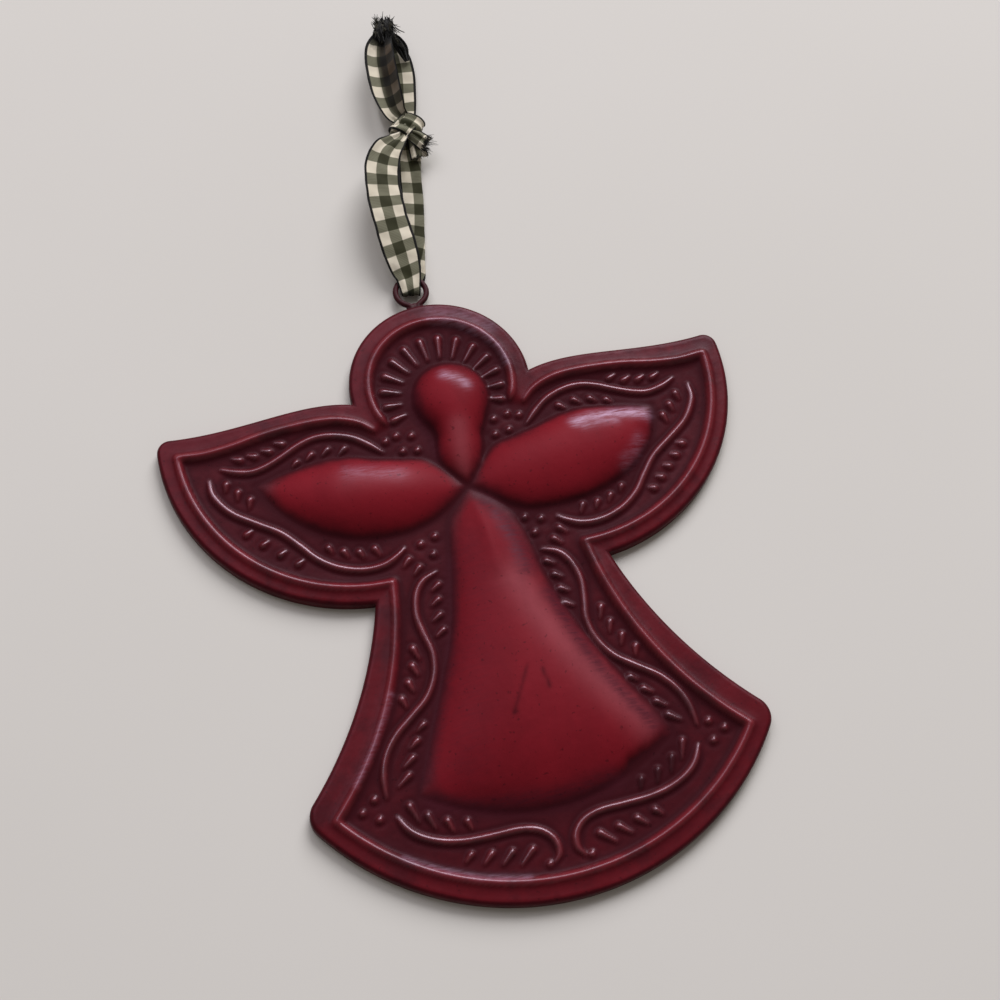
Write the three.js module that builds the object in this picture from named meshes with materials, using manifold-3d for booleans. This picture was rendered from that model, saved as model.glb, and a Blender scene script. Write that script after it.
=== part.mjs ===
// Angel ornament: an embossed tin front, a pan-shaped tin back, a wire eye and a gingham ribbon hanger.
// Sizes are in millimetres. The ornament lies on its back: +Z rises from the embossed face,
// +Y points towards the halo and +X towards the right-hand wing. The origin is on the flat back,
// under the waist, where the head, the wings and the skirt meet.

import * as THREE from 'three';
import { mergeVertices } from 'three/addons/utils/BufferGeometryUtils.js';
import Module from 'manifold-3d';

const wasm = await Module();
wasm.setup();

// Sheet metal

const SHEET = 0.4;
const RIM_HEIGHT = 3.2;
const RIM_ROLL = 1.1;
const FIELD_DROP = 0.6;
const HEM_WIDTH = 2.0;
const SEAM_GAP = 0.1;
const FIT_GAP = 0.3;

// Outline of the ornament, right half

const HALO_RADIUS = 22.75;
const HALO_CENTRE_Y = 29.1;
const WING_ROOT_ANGLE = -3;
const WING_TOP_HANDLES = [[36, 32], [52, 25.6]];
const WING_TIP = [71.5, 28.4];
const WING_TIP_ROUND = 3.4;
const WING_EDGE_RADIUS = 47.3;
const ARMPIT = [28.9, -24.9];
const SIDE_RADIUS = 105;
const SKIRT_CORNER = [56, -71.3];
const SKIRT_CORNER_ROUND = 4.2;
const SKIRT_BOTTOM_Y = -102.7;

// Ridge that runs inside the rim

const RIDGE_HALF_WIDTH = 1.35;
const RIDGE_HEIGHT = 0.9;
const RIDGE_HALO_RADIUS = 17.8;
const RIDGE_HALO_CENTRE_Y = 28.7;
const RIDGE_HALO_END_ANGLE = -27;
const RIDGE_WING_TOP = [
  [19.2, 19.4], [22, 21.9], [26, 23.7], [31, 24.6], [38, 24.6], [46, 23.9], [54, 22.5], [61, 21.9],
];
const RIDGE_TIP = [67.1, 22.4];
const RIDGE_WING_RADIUS = 42.3;
const RIDGE_ARMPIT = [23.6, -20.6];
const RIDGE_SIDE_RADIUS = 88;
const RIDGE_CORNER = [48.7, -73.7];
const RIDGE_BOTTOM_Y = -97.5;

// Puffed forms: heights above the field

const HEAD_HEIGHT = 4.6;
const HEAD_RADIUS = 9.8;
const HEAD_CENTRE_Y = 24.5;
const NECK_ANGLE = -35;
const NECK = [[6.6, 14.6], [6.0, 11], [5.2, 7.4], [2.8, 3.4], [0, 0.5]];
const WING_HEIGHT = 4.3;
const WING_CENTRE = [24, 2.5];
const WING_PUFF_ROOT = [0.5, 0];
const WING_PUFF_TIP = [50.2, 11.2];
const WING_PUFF_UPPER = [
  [5.3, 5.9], [8.8, 9.2], [14, 10.4], [20, 11.8], [26, 13.6], [32, 14.2], [39, 13.5],
];
const WING_PUFF_LOWER = [
  [46.2, 4.4], [39.4, -2.6], [30.5, -7.4], [20, -9.4], [11.5, -8.6], [5.6, -4.6],
];
const SKIRT_HEIGHT = 5.4;
const SKIRT_CENTRE_Y = -54;
const SKIRT_PUFF_SIDE = [
  [0, -0.7], [6, -6.8], [7.7, -11.5], [8.9, -18], [10.6, -26], [13.2, -36], [17.4, -46], [22, -56],
];
const SKIRT_PUFF_CORNER = [29.3, -71.6];
const SKIRT_PUFF_BOTTOM_Y = -81.6;
const PUFF_ROUNDNESS = 0.6;
const PUFF_SOFTENING = 16;
const PUFF_LEVELS = [1, 0.97, 0.87, 0.68, 0.38];
const HOLLOW_LEVELS = [1, 0.9, 0.6];

// Embossed vines, marks, beads and rays: widths, and heights above the field

const VINE_HALF_WIDTH = 0.7;
const VINE_HEIGHT = 0.95;
const MARK_HALF_WIDTH = 0.62;
const MARK_HEIGHT = 0.75;
const BEAD_RADIUS = 0.85;
const BEAD_HEIGHT = 0.8;
const RAY_COUNT = 14;
const RAY_PITCH = 16.25;
const RAY_CENTRE_Y = 25;
const RAY_INNER_RADIUS = 11;
const RAY_OUTER_RADIUS = 15.6;
const RAY_OUTER_CENTRE_Y = 26.7;
const RAY_HALF_WIDTH = 0.78;
const RAY_HEIGHT = 0.9;
const SINK = 0.3;

const VINES = [
  [
    [18.3, 13.2], [21.5, 16.3], [25, 18.9], [29.5, 20.5], [33.8, 20.8], [38, 19.7], [42.4, 17.6],
    [46.5, 15.9], [50.4, 15.1], [54.4, 15.9], [57.7, 17.5],
  ],
  [
    [61, 15.1], [60.6, 10.6], [57.4, 5.6], [52.2, 1.6], [46.8, -2.3], [42.9, -6.8], [39.6, -10.9],
    [35.2, -14.1], [29.8, -15.9], [24.6, -15.8], [20.9, -14.1], [19, -12.6],
  ],
  [
    [13, -20.2], [16.9, -22], [19.2, -25.4], [20.2, -30.2], [19.6, -35], [18.7, -40], [19.5, -45],
    [22.4, -50], [27, -53.8], [31.6, -57.4], [34.8, -61.6], [36.4, -66], [36.8, -71],
  ],
  [
    [35.6, -75.5], [33.6, -79.2], [30.4, -81.8], [26, -83.6], [21, -84.5], [15, -84.7],
    [9.4, -84.8], [5.2, -86], [2.6, -88.6], [2.1, -91.8], [3.6, -93.9],
  ],
];

// Rows of short marks beside the vines. Each row bends through three points; a mark's fat end leads and
// its thin end points along the turn, in degrees. The left side may hold another number of marks.

const MARK_ROWS = [
  { through: [[27.9, 15.9], [33.7, 16.6], [39.8, 14.9]], count: 4, turn: -40, length: [2.9, 2.4] },
  { through: [[42.4, 21.1], [47, 19.5], [53.2, 19.1]], count: 4, turn: 25, length: [2.6, 2.6] },
  { through: [[57.2, 12.6], [54.8, 9.8], [52.4, 7.3]], count: 3, turn: -75, length: [2.6, 2.8] },
  { through: [[54.4, -0.6], [50.3, -5], [44, -10.8]], count: 5, leftCount: 4, turn: 150,
    length: [2.2, 2.2] },
  { through: [[36.4, -8.9], [31, -11.5], [25.6, -11.8]], count: 4, turn: -115, length: [2.2, 2.8] },
  { through: [[19.2, -16.3], [18.2, -17.5], [17.2, -18.8]], count: 2, turn: -45, length: [2.9, 2.9] },
  { through: [[13.9, -23.9], [15.2, -29.5], [15.5, -35.3]], count: 4, turn: -32, length: [2.8, 3] },
  { through: [[22.6, -38.8], [24.4, -44.5], [28, -49.9]], count: 4, turn: -108, length: [3.6, 3] },
  { through: [[25.3, -56.5], [28.6, -61.5], [31.9, -67.8]], count: 4, turn: -36, length: [2.6, 4.2] },
  { through: [[31.7, -75.5], [26.4, -79.4], [20.2, -80.9]], count: 4, turn: -108, length: [5, 2.8] },
  { through: [[22, -88.2], [15.8, -89.8], [9.2, -91]], count: 4, turn: -42, length: [2.8, 5] },
];

const BEADS = [
  [10.5, 16.2], [14.2, 16.9], [17, 16], [13.5, 12.5], [9.9, 12],
  [11.2, -11.3], [15, -12.5], [12.6, -15.7],
  [39.6, -70.6], [42.8, -73], [39.4, -75.3],
  [4.9, -93.9],
];

// Wire eye at the top of the halo

const WIRE_RADIUS = 0.75;
const EYE_RADIUS = 3.95;
const EYE_OFFSET_X = -0.95;
const EYE_NECK_LENGTH = 0.75;
const EYE_LEG_SPACING = 2.0;
const EYE_LEG_INSIDE = 2.2;
const EYE_FOOT_SPREAD = 3.4;

// Ribbon hanger

const RIBBON_WIDTH = 10;
const RIBBON_THICK = 0.4;
const RIBBON_TURN = -10.5;
const BIGHT_WIDTH = 4.4;
const BIGHT_REACH = 4.9;
const BIGHT_RISE = 1.0;
const RIBBON_FLOOR = 0.1;
const RIBBON_RISE = 4.6;
const LOWER_LOOP_LENGTH = 43.85;
const UPPER_LOOP_LENGTH = 35.4;
const KNOT_OFFSET_X = 1.4;
const KNOT_CORE = [4, 4.6, 3];
const KNOT_CORE_TURN = -28;
const KNOT_BAND_RADIUS = 4.4;
const KNOT_BAND_SHOULDER = 4;
const KNOT_BAND_WIDTH = 4.4;
const KNOT_BAND_TURN = -32;
const KNOT_FLATNESS = 0.78;

// The two ends of the ribbon: where they start and end from the knot's centre, the way across, the height

const TAIL_WIDTH = 5.8;
const UPPER_TAIL = { start: [1.6, -1.3], end: [8, -5.2], across: [0.45, 1, 0.1], height: 5.6 };
const LOWER_TAIL = { start: [2, -2.8], end: [3.8, -9.4], across: [1, 0.25, 0], height: 4.15 };

// Strands of the ribbon, as rows of shares: aside, along and up, then the way across, the width and the
// curl. Aside, width and curl are shares of the ribbon's width, along of the loop's length and up of its
// rise.

const FRONT_LEG = [
  [-0.03, 0, 0, [1, 0, 0], 0.5, 0.01],
  [-0.12, 0.09, 0.3, [1, 0.1, -0.15], 0.76, 0.03],
  [-0.32, 0.25, 0.7, [1, 0.2, -0.35], 0.96, 0.03],
  [-0.5, 0.43, 0.96, [1, 0.2, -0.42], 1, 0.02],
  [-0.6, 0.64, 1, [1, 0, -0.42], 0.96, 0.04],
  [-0.5, 0.79, 0.83, [1, -0.4, -0.3], 0.84, 0.07],
  [-0.24, 0.89, 0.52, [1, -0.7, 0], 0.64, 0.08],
  [-0.04, 0.945, 0.22, [1, -0.8, 0], 0.46, 0.06],
];
const BACK_LEG = [
  [0.04, 0, 0, [1, 0, 0], 0.5, 0.01],
  [-0.02, 0.115, -0.04, [1, 0, 0.04], 0.78, 0.03],
  [-0.08, 0.3, -0.03, [1, 0, 0.05], 0.96, 0.04],
  [-0.09, 0.525, 0.04, [1, 0, 0.08], 1, 0.04],
  [0.02, 0.73, 0.15, [1, 0.1, 0.1], 0.86, 0.05],
  [0.12, 0.86, 0.26, [1, 0.1, 0.05], 0.64, 0.06],
  [0.14, 0.935, 0.3, [1, 0, 0], 0.46, 0.05],
];
const HOOK_LOOP = [
  [0.09, 0.05, 0.82, [1, -0.1, 0], 0.36, 0.03],
  [-0.04, 0.115, 1.02, [1, 0.1, 0], 0.62, 0.06],
  [-0.22, 0.19, 1.25, [1, 0.15, 0], 0.9, 0.1],
  [-0.31, 0.325, 1.38, [1, 0.1, 0], 0.96, 0.14],
  [-0.37, 0.48, 1.42, [1, 0, 0], 0.96, 0.17],
  [-0.42, 0.635, 1.42, [1, 0, 0], 0.92, 0.18],
  [-0.45, 0.78, 1.4, [1, 0.1, 0], 0.8, 0.15],
  [-0.43, 0.895, 1.33, [1, 0.15, 0], 0.62, 0.09],
  [-0.38, 0.97, 1.14, [1, 0.1, 0], 0.5, 0.04],
  [-0.34, 1, 0.78, [1, 0, 0], 0.46, 0.01],
  [-0.31, 0.965, 0.46, [1, 0, 0], 0.5, -0.02],
  [-0.25, 0.89, 0.27, [1, -0.1, 0], 0.66, -0.03],
  [-0.14, 0.755, 0.2, [1, -0.1, 0], 0.88, -0.03],
  [-0.07, 0.585, 0.18, [1, 0, 0], 1, -0.03],
  [-0.05, 0.4, 0.18, [1, 0, 0], 0.98, -0.03],
  [0, 0.245, 0.2, [1, 0, 0], 0.86, -0.03],
  [0.09, 0.13, 0.32, [1, 0, 0], 0.6, -0.04],
  [0.14, 0.05, 0.49, [1, 0.1, 0], 0.36, -0.03],
];

// Worked out from the sizes above

const FIELD_HEIGHT = RIM_HEIGHT - FIELD_DROP;
const RIDGE_CREST = RIM_HEIGHT + RIDGE_HEIGHT;
const PLATE_RIM_BOTTOM = SHEET + SEAM_GAP;
const PLATE_RIM_TOP = PLATE_RIM_BOTTOM + SHEET;
const WIRE_HEIGHT = PLATE_RIM_TOP + FIT_GAP + WIRE_RADIUS;
const HALO_TOP_Y = HALO_CENTRE_Y + HALO_RADIUS;
const EYE_CENTRE_Y = HALO_TOP_Y + EYE_NECK_LENGTH + EYE_RADIUS;
const LEG_START_Y = EYE_RADIUS + BIGHT_RISE;
const KNOT_CENTRE_Y = LEG_START_Y + LOWER_LOOP_LENGTH;

// Colours

const TIN_RED = { color: 0x6e1f2a, roughness: 0.42, metalness: 0.25 };
const TIN_BACK = { color: 0x571a22, roughness: 0.5, metalness: 0.25 };
const WIRE_RED = { color: 0x4a1a20, roughness: 0.45, metalness: 0.3 };
const CLOTH_LIGHT = { color: 0xb9b096, roughness: 0.9, metalness: 0 };
const CLOTH_DARK = { color: 0x6a6a50, roughness: 0.9, metalness: 0 };

// Plane curves

function radians(degrees) {
  return THREE.MathUtils.degToRad(degrees);
}

function plane(pair) {
  return new THREE.Vector2(pair[0], pair[1]);
}

function arcAbout(centreX, centreY, radius, fromDegrees, toDegrees, steps) {
  const points = [];
  for (let i = 0; i <= steps; i += 1) {
    const angle = radians(fromDegrees + ((toDegrees - fromDegrees) * i) / steps);
    points.push(new THREE.Vector2(centreX + radius * Math.cos(angle), centreY + radius * Math.sin(angle)));
  }
  return points;
}

// The arc from one point to another. It bulges to the left of the way there where side is 1.
function arcBetween(from, to, radius, side, steps) {
  const half = to.clone().sub(from).multiplyScalar(0.5);
  const rise = Math.sqrt(Math.max(radius * radius - half.lengthSq(), 0));
  const across = new THREE.Vector2(half.y, -half.x).normalize();
  const centre = from.clone().add(half).addScaledVector(across, side * rise);
  const start = Math.atan2(from.y - centre.y, from.x - centre.x);
  let sweep = Math.atan2(to.y - centre.y, to.x - centre.x) - start;
  if (side > 0 && sweep > 0) sweep -= 2 * Math.PI;
  if (side < 0 && sweep < 0) sweep += 2 * Math.PI;
  const points = [];
  for (let i = 0; i <= steps; i += 1) {
    const angle = start + (sweep * i) / steps;
    points.push(new THREE.Vector2(centre.x + radius * Math.cos(angle), centre.y + radius * Math.sin(angle)));
  }
  return points;
}

function bottomArc(corner, bottomY, steps) {
  const drop = corner.y - bottomY;
  const radius = (corner.x * corner.x + drop * drop) / (2 * drop);
  return arcBetween(corner, new THREE.Vector2(0, bottomY), radius, 1, steps);
}

function spline(pairs, steps) {
  return new THREE.SplineCurve(pairs.map(plane)).getSpacedPoints(steps);
}

// Rounds the corner where one clockwise run of points ends and the next begins.
function rounded(before, after, cut, steps) {
  const corner = before[before.length - 1];
  const kept = before.filter((point) => point.distanceTo(corner) > cut);
  const next = after.filter((point) => point.distanceTo(corner) > cut);
  const back = kept[kept.length - 1].clone().sub(corner).normalize();
  const ahead = next[0].clone().sub(corner).normalize();
  const start = corner.clone().addScaledVector(back, cut);
  const end = corner.clone().addScaledVector(ahead, cut);
  const radius = cut * Math.tan(Math.acos(back.dot(ahead)) / 2);
  return [...kept, ...arcBetween(start, end, radius, 1, steps), ...next];
}

// The same run of points on the other side of the axis, the other way round.
function flipped(points) {
  return points.map((point) => new THREE.Vector2(-point.x, point.y)).reverse();
}

// A closed outline from its right half, which runs from the top of the axis to the bottom.
function mirrored(half) {
  return [...half, ...flipped(half.slice(1, -1))];
}

function ornamentOutline(fineness) {
  const steps = (count) => Math.max(3, Math.round(count * fineness));
  const halo = arcAbout(0, HALO_CENTRE_Y, HALO_RADIUS, 90, WING_ROOT_ANGLE, steps(18));
  const root = halo[halo.length - 1];
  const tip = plane(WING_TIP);
  const handles = WING_TOP_HANDLES.map(plane);
  const wingTop = new THREE.CubicBezierCurve(root, handles[0], handles[1], tip).getPoints(steps(12));
  const wingEdge = arcBetween(tip, plane(ARMPIT), WING_EDGE_RADIUS, 1, steps(18));
  const wing = rounded(wingTop, wingEdge, WING_TIP_ROUND, steps(5));
  const side = arcBetween(plane(ARMPIT), plane(SKIRT_CORNER), SIDE_RADIUS, -1, steps(10));
  const hem = bottomArc(plane(SKIRT_CORNER), SKIRT_BOTTOM_Y, steps(13));
  const skirt = rounded(side, hem, SKIRT_CORNER_ROUND, steps(5));
  return mirrored([...halo, ...wing.slice(1), ...skirt.slice(1)]);
}

// The right-hand half of the ridge, from the wing root round to the bottom of the axis.
function ridgeHalf() {
  const top = spline([...RIDGE_WING_TOP, RIDGE_TIP], 15);
  const edge = arcBetween(plane(RIDGE_TIP), plane(RIDGE_ARMPIT), RIDGE_WING_RADIUS, 1, 14);
  const side = arcBetween(plane(RIDGE_ARMPIT), plane(RIDGE_CORNER), RIDGE_SIDE_RADIUS, -1, 8);
  const bottom = bottomArc(plane(RIDGE_CORNER), RIDGE_BOTTOM_Y, 9);
  return [...top, ...edge.slice(1), ...side.slice(1), ...bottom.slice(1)];
}

function ridgeHalo(steps) {
  const end = RIDGE_HALO_END_ANGLE;
  return arcAbout(0, RIDGE_HALO_CENTRE_Y, RIDGE_HALO_RADIUS, 180 - end, end, steps);
}

function fieldOutline() {
  const halo = ridgeHalo(28).filter((point) => point.x >= -1e-6);
  const offAxis = halo.filter((point) => point.x > 0.1);
  return mirrored([new THREE.Vector2(0, halo[0].y), ...offAxis, ...ridgeHalf()]);
}

// Moves every side of a clockwise outline inwards by a distance.
function inset(outline, distance) {
  const count = outline.length;
  return outline.map((point, i) => {
    const before = point.clone().sub(outline[(i + count - 1) % count]).normalize();
    const after = outline[(i + 1) % count].clone().sub(point).normalize();
    const normal = new THREE.Vector2(before.y + after.y, -before.x - after.x).normalize();
    const spread = Math.max(0.35, normal.dot(new THREE.Vector2(after.y, -after.x)));
    return point.clone().addScaledVector(normal, distance / spread);
  });
}

// Solids

function solidOf(geometry) {
  const bare = geometry.clone();
  bare.deleteAttribute('normal');
  bare.deleteAttribute('uv');
  const merged = mergeVertices(bare, 1e-5);
  const mesh = new wasm.Mesh({
    numProp: 3,
    vertProperties: new Float32Array(merged.attributes.position.array),
    triVerts: new Uint32Array(merged.index.array),
  });
  return new wasm.Manifold(mesh);
}

function geometryOf(solid) {
  const mesh = solid.getMesh();
  const geometry = new THREE.BufferGeometry();
  geometry.setAttribute('position', new THREE.BufferAttribute(new Float32Array(mesh.vertProperties), 3));
  geometry.setIndex(new THREE.BufferAttribute(new Uint32Array(mesh.triVerts), 1));
  geometry.computeVertexNormals();
  return geometry;
}

function signedVolume(points, triangles) {
  let volume = 0;
  for (let i = 0; i < triangles.length; i += 3) {
    const [a, b, c] = [points[triangles[i]], points[triangles[i + 1]], points[triangles[i + 2]]];
    volume += a.dot(b.clone().cross(c)) / 6;
  }
  return volume;
}

// A closed body through rings of points. A ring of one point closes an end as a tip, and any other end
// ring is closed flat.
function loft(rings) {
  const points = rings.flat();
  const starts = rings.map((_, i) => rings.slice(0, i).reduce((sum, ring) => sum + ring.length, 0));
  const triangles = [];
  for (let r = 0; r + 1 < rings.length; r += 1) {
    const count = Math.max(rings[r].length, rings[r + 1].length);
    for (let i = 0; i < count; i += 1) {
      const j = (i + 1) % count;
      const low = rings[r].length === 1 ? [starts[r], starts[r]] : [starts[r] + i, starts[r] + j];
      const high = rings[r + 1].length === 1
        ? [starts[r + 1], starts[r + 1]]
        : [starts[r + 1] + i, starts[r + 1] + j];
      if (low[0] !== low[1]) triangles.push(low[0], low[1], high[1]);
      if (high[0] !== high[1]) triangles.push(low[0], high[1], high[0]);
    }
  }
  capRing(rings[0], starts[0], triangles, true);
  capRing(rings[rings.length - 1], starts[rings.length - 1], triangles, false);
  if (signedVolume(points, triangles) < 0) triangles.reverse();
  const geometry = new THREE.BufferGeometry();
  geometry.setFromPoints(points);
  geometry.setIndex(triangles);
  return geometry;
}

function capRing(ring, start, triangles, first) {
  if (ring.length < 3) return;
  const normal = ringNormal(ring);
  const axis = Math.abs(normal.z) > 0.5 ? 'z' : Math.abs(normal.y) > 0.5 ? 'y' : 'x';
  const flat = ring.map((p) => {
    if (axis === 'z') return new THREE.Vector2(p.x, p.y);
    if (axis === 'y') return new THREE.Vector2(p.z, p.x);
    return new THREE.Vector2(p.y, p.z);
  });
  const anticlockwise = THREE.ShapeUtils.area(flat) > 0;
  for (const face of THREE.ShapeUtils.triangulateShape(flat, [])) {
    const [a, b, c] = face;
    const turned = (THREE.ShapeUtils.area([flat[a], flat[b], flat[c]]) > 0) === anticlockwise;
    const forward = turned !== first;
    triangles.push(start + a, start + (forward ? b : c), start + (forward ? c : b));
  }
}

function ringNormal(ring) {
  const sum = new THREE.Vector3();
  for (let i = 1; i + 1 < ring.length; i += 1) {
    const a = ring[i].clone().sub(ring[0]);
    sum.add(a.cross(ring[i + 1].clone().sub(ring[0])));
  }
  return sum.normalize();
}

function level(outline, z) {
  return outline.map((point) => new THREE.Vector3(point.x, point.y, z));
}

function prism(outline, bottom, top) {
  return solidOf(loft([level(outline, bottom), level(outline, top)]));
}

// A raised line along plane points, with an arched section and pointed ends. The shape gives, for each
// share of its length, its half width and its height as shares of the full ones.
function raisedLine(points, halfWidth, crest, floor, section, shape) {
  const last = points.length - 1;
  const rings = points.map((point, i) => {
    const before = points[Math.max(i - 1, 0)];
    const after = points[Math.min(i + 1, last)];
    const along = after.clone().sub(before).normalize();
    const share = shape(i / last);
    return section.map(([across, up]) => new THREE.Vector3(
      point.x - along.y * across * halfWidth * share,
      point.y + along.x * across * halfWidth * share,
      floor + Math.max(up * (crest - floor) * share, up < 0 ? -SINK : 0),
    ));
  });
  const tip = (from, past) => {
    const out = from.clone().sub(past).normalize().multiplyScalar(halfWidth * 0.7);
    return [new THREE.Vector3(from.x + out.x, from.y + out.y, floor - SINK)];
  };
  rings.unshift(tip(points[0], points[1]));
  rings.push(tip(points[last], points[last - 1]));
  return solidOf(loft(rings));
}

const ARCHED = [[-1, -1], [-0.62, 0.72], [0, 1], [0.62, 0.72], [1, -1]];
const FLATTED = [[-1, -1], [-0.5, 1], [0.5, 1], [1, -1]];

function taperedEnds(reach) {
  return (share) => {
    const end = Math.min(share, 1 - share, reach) / reach;
    return 0.45 + 0.55 * Math.sin((end * Math.PI) / 2);
  };
}

function mark(x, y, turn, length, halfWidth, height) {
  const along = new THREE.Vector2(Math.cos(radians(turn)), Math.sin(radians(turn)));
  const start = new THREE.Vector2(x, y).addScaledVector(along, -0.32 * length);
  const end = new THREE.Vector2(x, y).addScaledVector(along, 0.34 * length);
  const shape = (share) => 1 - 0.5 * share;
  return raisedLine([start, end], halfWidth, FIELD_HEIGHT + height, FIELD_HEIGHT, FLATTED, shape);
}

function bead(x, y) {
  const sides = 6;
  const ring = (radius, z) => arcAbout(x, y, radius, 0, 360 - 360 / sides, sides - 1)
    .map((point) => new THREE.Vector3(point.x, point.y, z));
  return solidOf(loft([
    ring(BEAD_RADIUS, FIELD_HEIGHT - SINK),
    ring(BEAD_RADIUS * 0.72, FIELD_HEIGHT + BEAD_HEIGHT * 0.75),
    [new THREE.Vector3(x, y, FIELD_HEIGHT + BEAD_HEIGHT)],
  ]));
}

// Puffed forms

function headOutline() {
  const crown = arcAbout(0, HEAD_CENTRE_Y, HEAD_RADIUS, 90, NECK_ANGLE, 9);
  const shoulder = crown[crown.length - 1];
  const neck = spline([[shoulder.x, shoulder.y], ...NECK], 6);
  return mirrored([...crown, ...neck.slice(1)]);
}

function wingPuffOutline(side) {
  const upper = spline([WING_PUFF_ROOT, ...WING_PUFF_UPPER, WING_PUFF_TIP], 13);
  const lower = spline([WING_PUFF_TIP, ...WING_PUFF_LOWER, WING_PUFF_ROOT], 13);
  const right = [...upper, ...lower.slice(1, -1)];
  return side > 0 ? right : flipped(right);
}

function skirtPuffOutline() {
  const side = spline([...SKIRT_PUFF_SIDE, SKIRT_PUFF_CORNER], 12);
  const bottom = bottomArc(plane(SKIRT_PUFF_CORNER), SKIRT_PUFF_BOTTOM_Y, 6);
  return mirrored([...side, ...bottom.slice(1)]);
}

// Each round draws every point of a closed ring towards the middle of its neighbours.
function softened(ring, rounds) {
  let soft = ring;
  for (let round = 0; round < rounds; round += 1) {
    const count = soft.length;
    soft = soft.map((point, i) => {
      const middle = soft[(i + count - 1) % count].clone().lerp(soft[(i + 1) % count], 0.5);
      return middle.lerp(point, 0.5);
    });
  }
  return soft;
}

// A pillow over an outline: the rings shrink towards the centre and soften as they rise.
function puff(outline, centre, height, base, scale, levels) {
  const rings = levels.map((share) => {
    const rise = height * Math.pow(1 - share * share, PUFF_ROUNDNESS);
    return softened(outline, Math.round(PUFF_SOFTENING * (1 - share))).map((point) => {
      const flat = centre.clone().lerp(point, share * scale);
      return new THREE.Vector3(flat.x, flat.y, base + (share === 1 ? -SINK : rise));
    });
  });
  rings.push([new THREE.Vector3(centre.x, centre.y, base + height)]);
  return solidOf(loft(rings));
}

function puffs(base, scale, levels) {
  const wings = [1, -1].map((side) => {
    const centre = new THREE.Vector2(side * WING_CENTRE[0], WING_CENTRE[1]);
    return puff(wingPuffOutline(side), centre, WING_HEIGHT, base, scale, levels);
  });
  const headCentre = new THREE.Vector2(0, HEAD_CENTRE_Y - 2);
  const skirtCentre = new THREE.Vector2(0, SKIRT_CENTRE_Y);
  const head = puff(headOutline(), headCentre, HEAD_HEIGHT, base, scale, levels);
  const skirt = puff(skirtPuffOutline(), skirtCentre, SKIRT_HEIGHT, base, scale, levels);
  return [...wings, head, skirt];
}

// Embossed pattern

function ridges() {
  const half = ridgeHalf();
  const whole = [...half, ...flipped(half.slice(0, -1))];
  const lines = [whole, ridgeHalo(34)];
  return lines.map((line) => (
    raisedLine(line, RIDGE_HALF_WIDTH, RIDGE_CREST, FIELD_HEIGHT, ARCHED, taperedEnds(0.03))
  ));
}

function vines() {
  const solids = [];
  for (const vine of VINES) {
    for (const side of [1, -1]) {
      const line = spline(vine.map(([x, y]) => [side * x, y]), vine.length + 4);
      solids.push(raisedLine(line, VINE_HALF_WIDTH, FIELD_HEIGHT + VINE_HEIGHT, FIELD_HEIGHT, FLATTED,
        taperedEnds(0.12)));
    }
  }
  return solids;
}

function markRow(row, side) {
  const count = side < 0 && row.leftCount ? row.leftCount : row.count;
  const line = new THREE.SplineCurve(row.through.map(plane));
  const solids = [];
  for (let i = 0; i < count; i += 1) {
    const share = i / (count - 1);
    const at = line.getPointAt(share);
    const length = row.length[0] + (row.length[1] - row.length[0]) * share;
    const turn = side > 0 ? row.turn : 180 - row.turn;
    solids.push(mark(side * at.x, at.y, turn, length, MARK_HALF_WIDTH, MARK_HEIGHT));
  }
  return solids;
}

function rays() {
  const solids = [];
  for (let i = 0; i < RAY_COUNT; i += 1) {
    const angle = radians(90 + RAY_PITCH * (i - (RAY_COUNT - 1) / 2));
    const toward = new THREE.Vector2(Math.cos(angle), Math.sin(angle));
    const lift = RAY_OUTER_CENTRE_Y - RAY_CENTRE_Y;
    const reach = lift * toward.y + Math.sqrt(RAY_OUTER_RADIUS ** 2 - (lift * toward.x) ** 2);
    const length = reach - RAY_INNER_RADIUS;
    const middle = (reach + RAY_INNER_RADIUS) / 2;
    const turn = THREE.MathUtils.radToDeg(angle) + 180;
    solids.push(mark(toward.x * middle, RAY_CENTRE_Y + toward.y * middle, turn, length, RAY_HALF_WIDTH,
      RAY_HEIGHT));
  }
  return solids;
}

function embossing() {
  const sides = [1, -1];
  const rows = MARK_ROWS.flatMap((row) => sides.flatMap((side) => markRow(row, side)));
  const beads = BEADS.flatMap(([x, y]) => sides.map((side) => bead(side * x, y)));
  return [...ridges(), ...vines(), ...rows, ...beads, ...rays()];
}

// Wire eye

function eyeCurve(reach) {
  const halfGap = EYE_LEG_SPACING / 2;
  const open = Math.asin(Math.min(1, (halfGap + WIRE_RADIUS) / EYE_RADIUS));
  const ring = [];
  const turns = 18;
  for (let i = 0; i <= turns; i += 1) {
    const angle = -Math.PI / 2 + open + ((2 * Math.PI - 2 * open) * i) / turns;
    ring.push([EYE_RADIUS * Math.cos(angle), EYE_CENTRE_Y + EYE_RADIUS * Math.sin(angle)]);
  }
  const leg = [
    [halfGap, HALO_TOP_Y + EYE_NECK_LENGTH * 0.4],
    [halfGap, HALO_TOP_Y - EYE_LEG_INSIDE * 0.5],
    [halfGap + EYE_FOOT_SPREAD * 0.35, HALO_TOP_Y - EYE_LEG_INSIDE * 0.95],
    [halfGap + EYE_FOOT_SPREAD + reach, HALO_TOP_Y - EYE_LEG_INSIDE * 1.15],
  ];
  const route = [...[...leg].reverse(), ...ring, ...leg.map(([x, y]) => [-x, y])];
  return new THREE.CatmullRomCurve3(
    route.map(([x, y]) => new THREE.Vector3(EYE_OFFSET_X + x, y, WIRE_HEIGHT)),
    false,
    'centripetal',
  );
}

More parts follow.
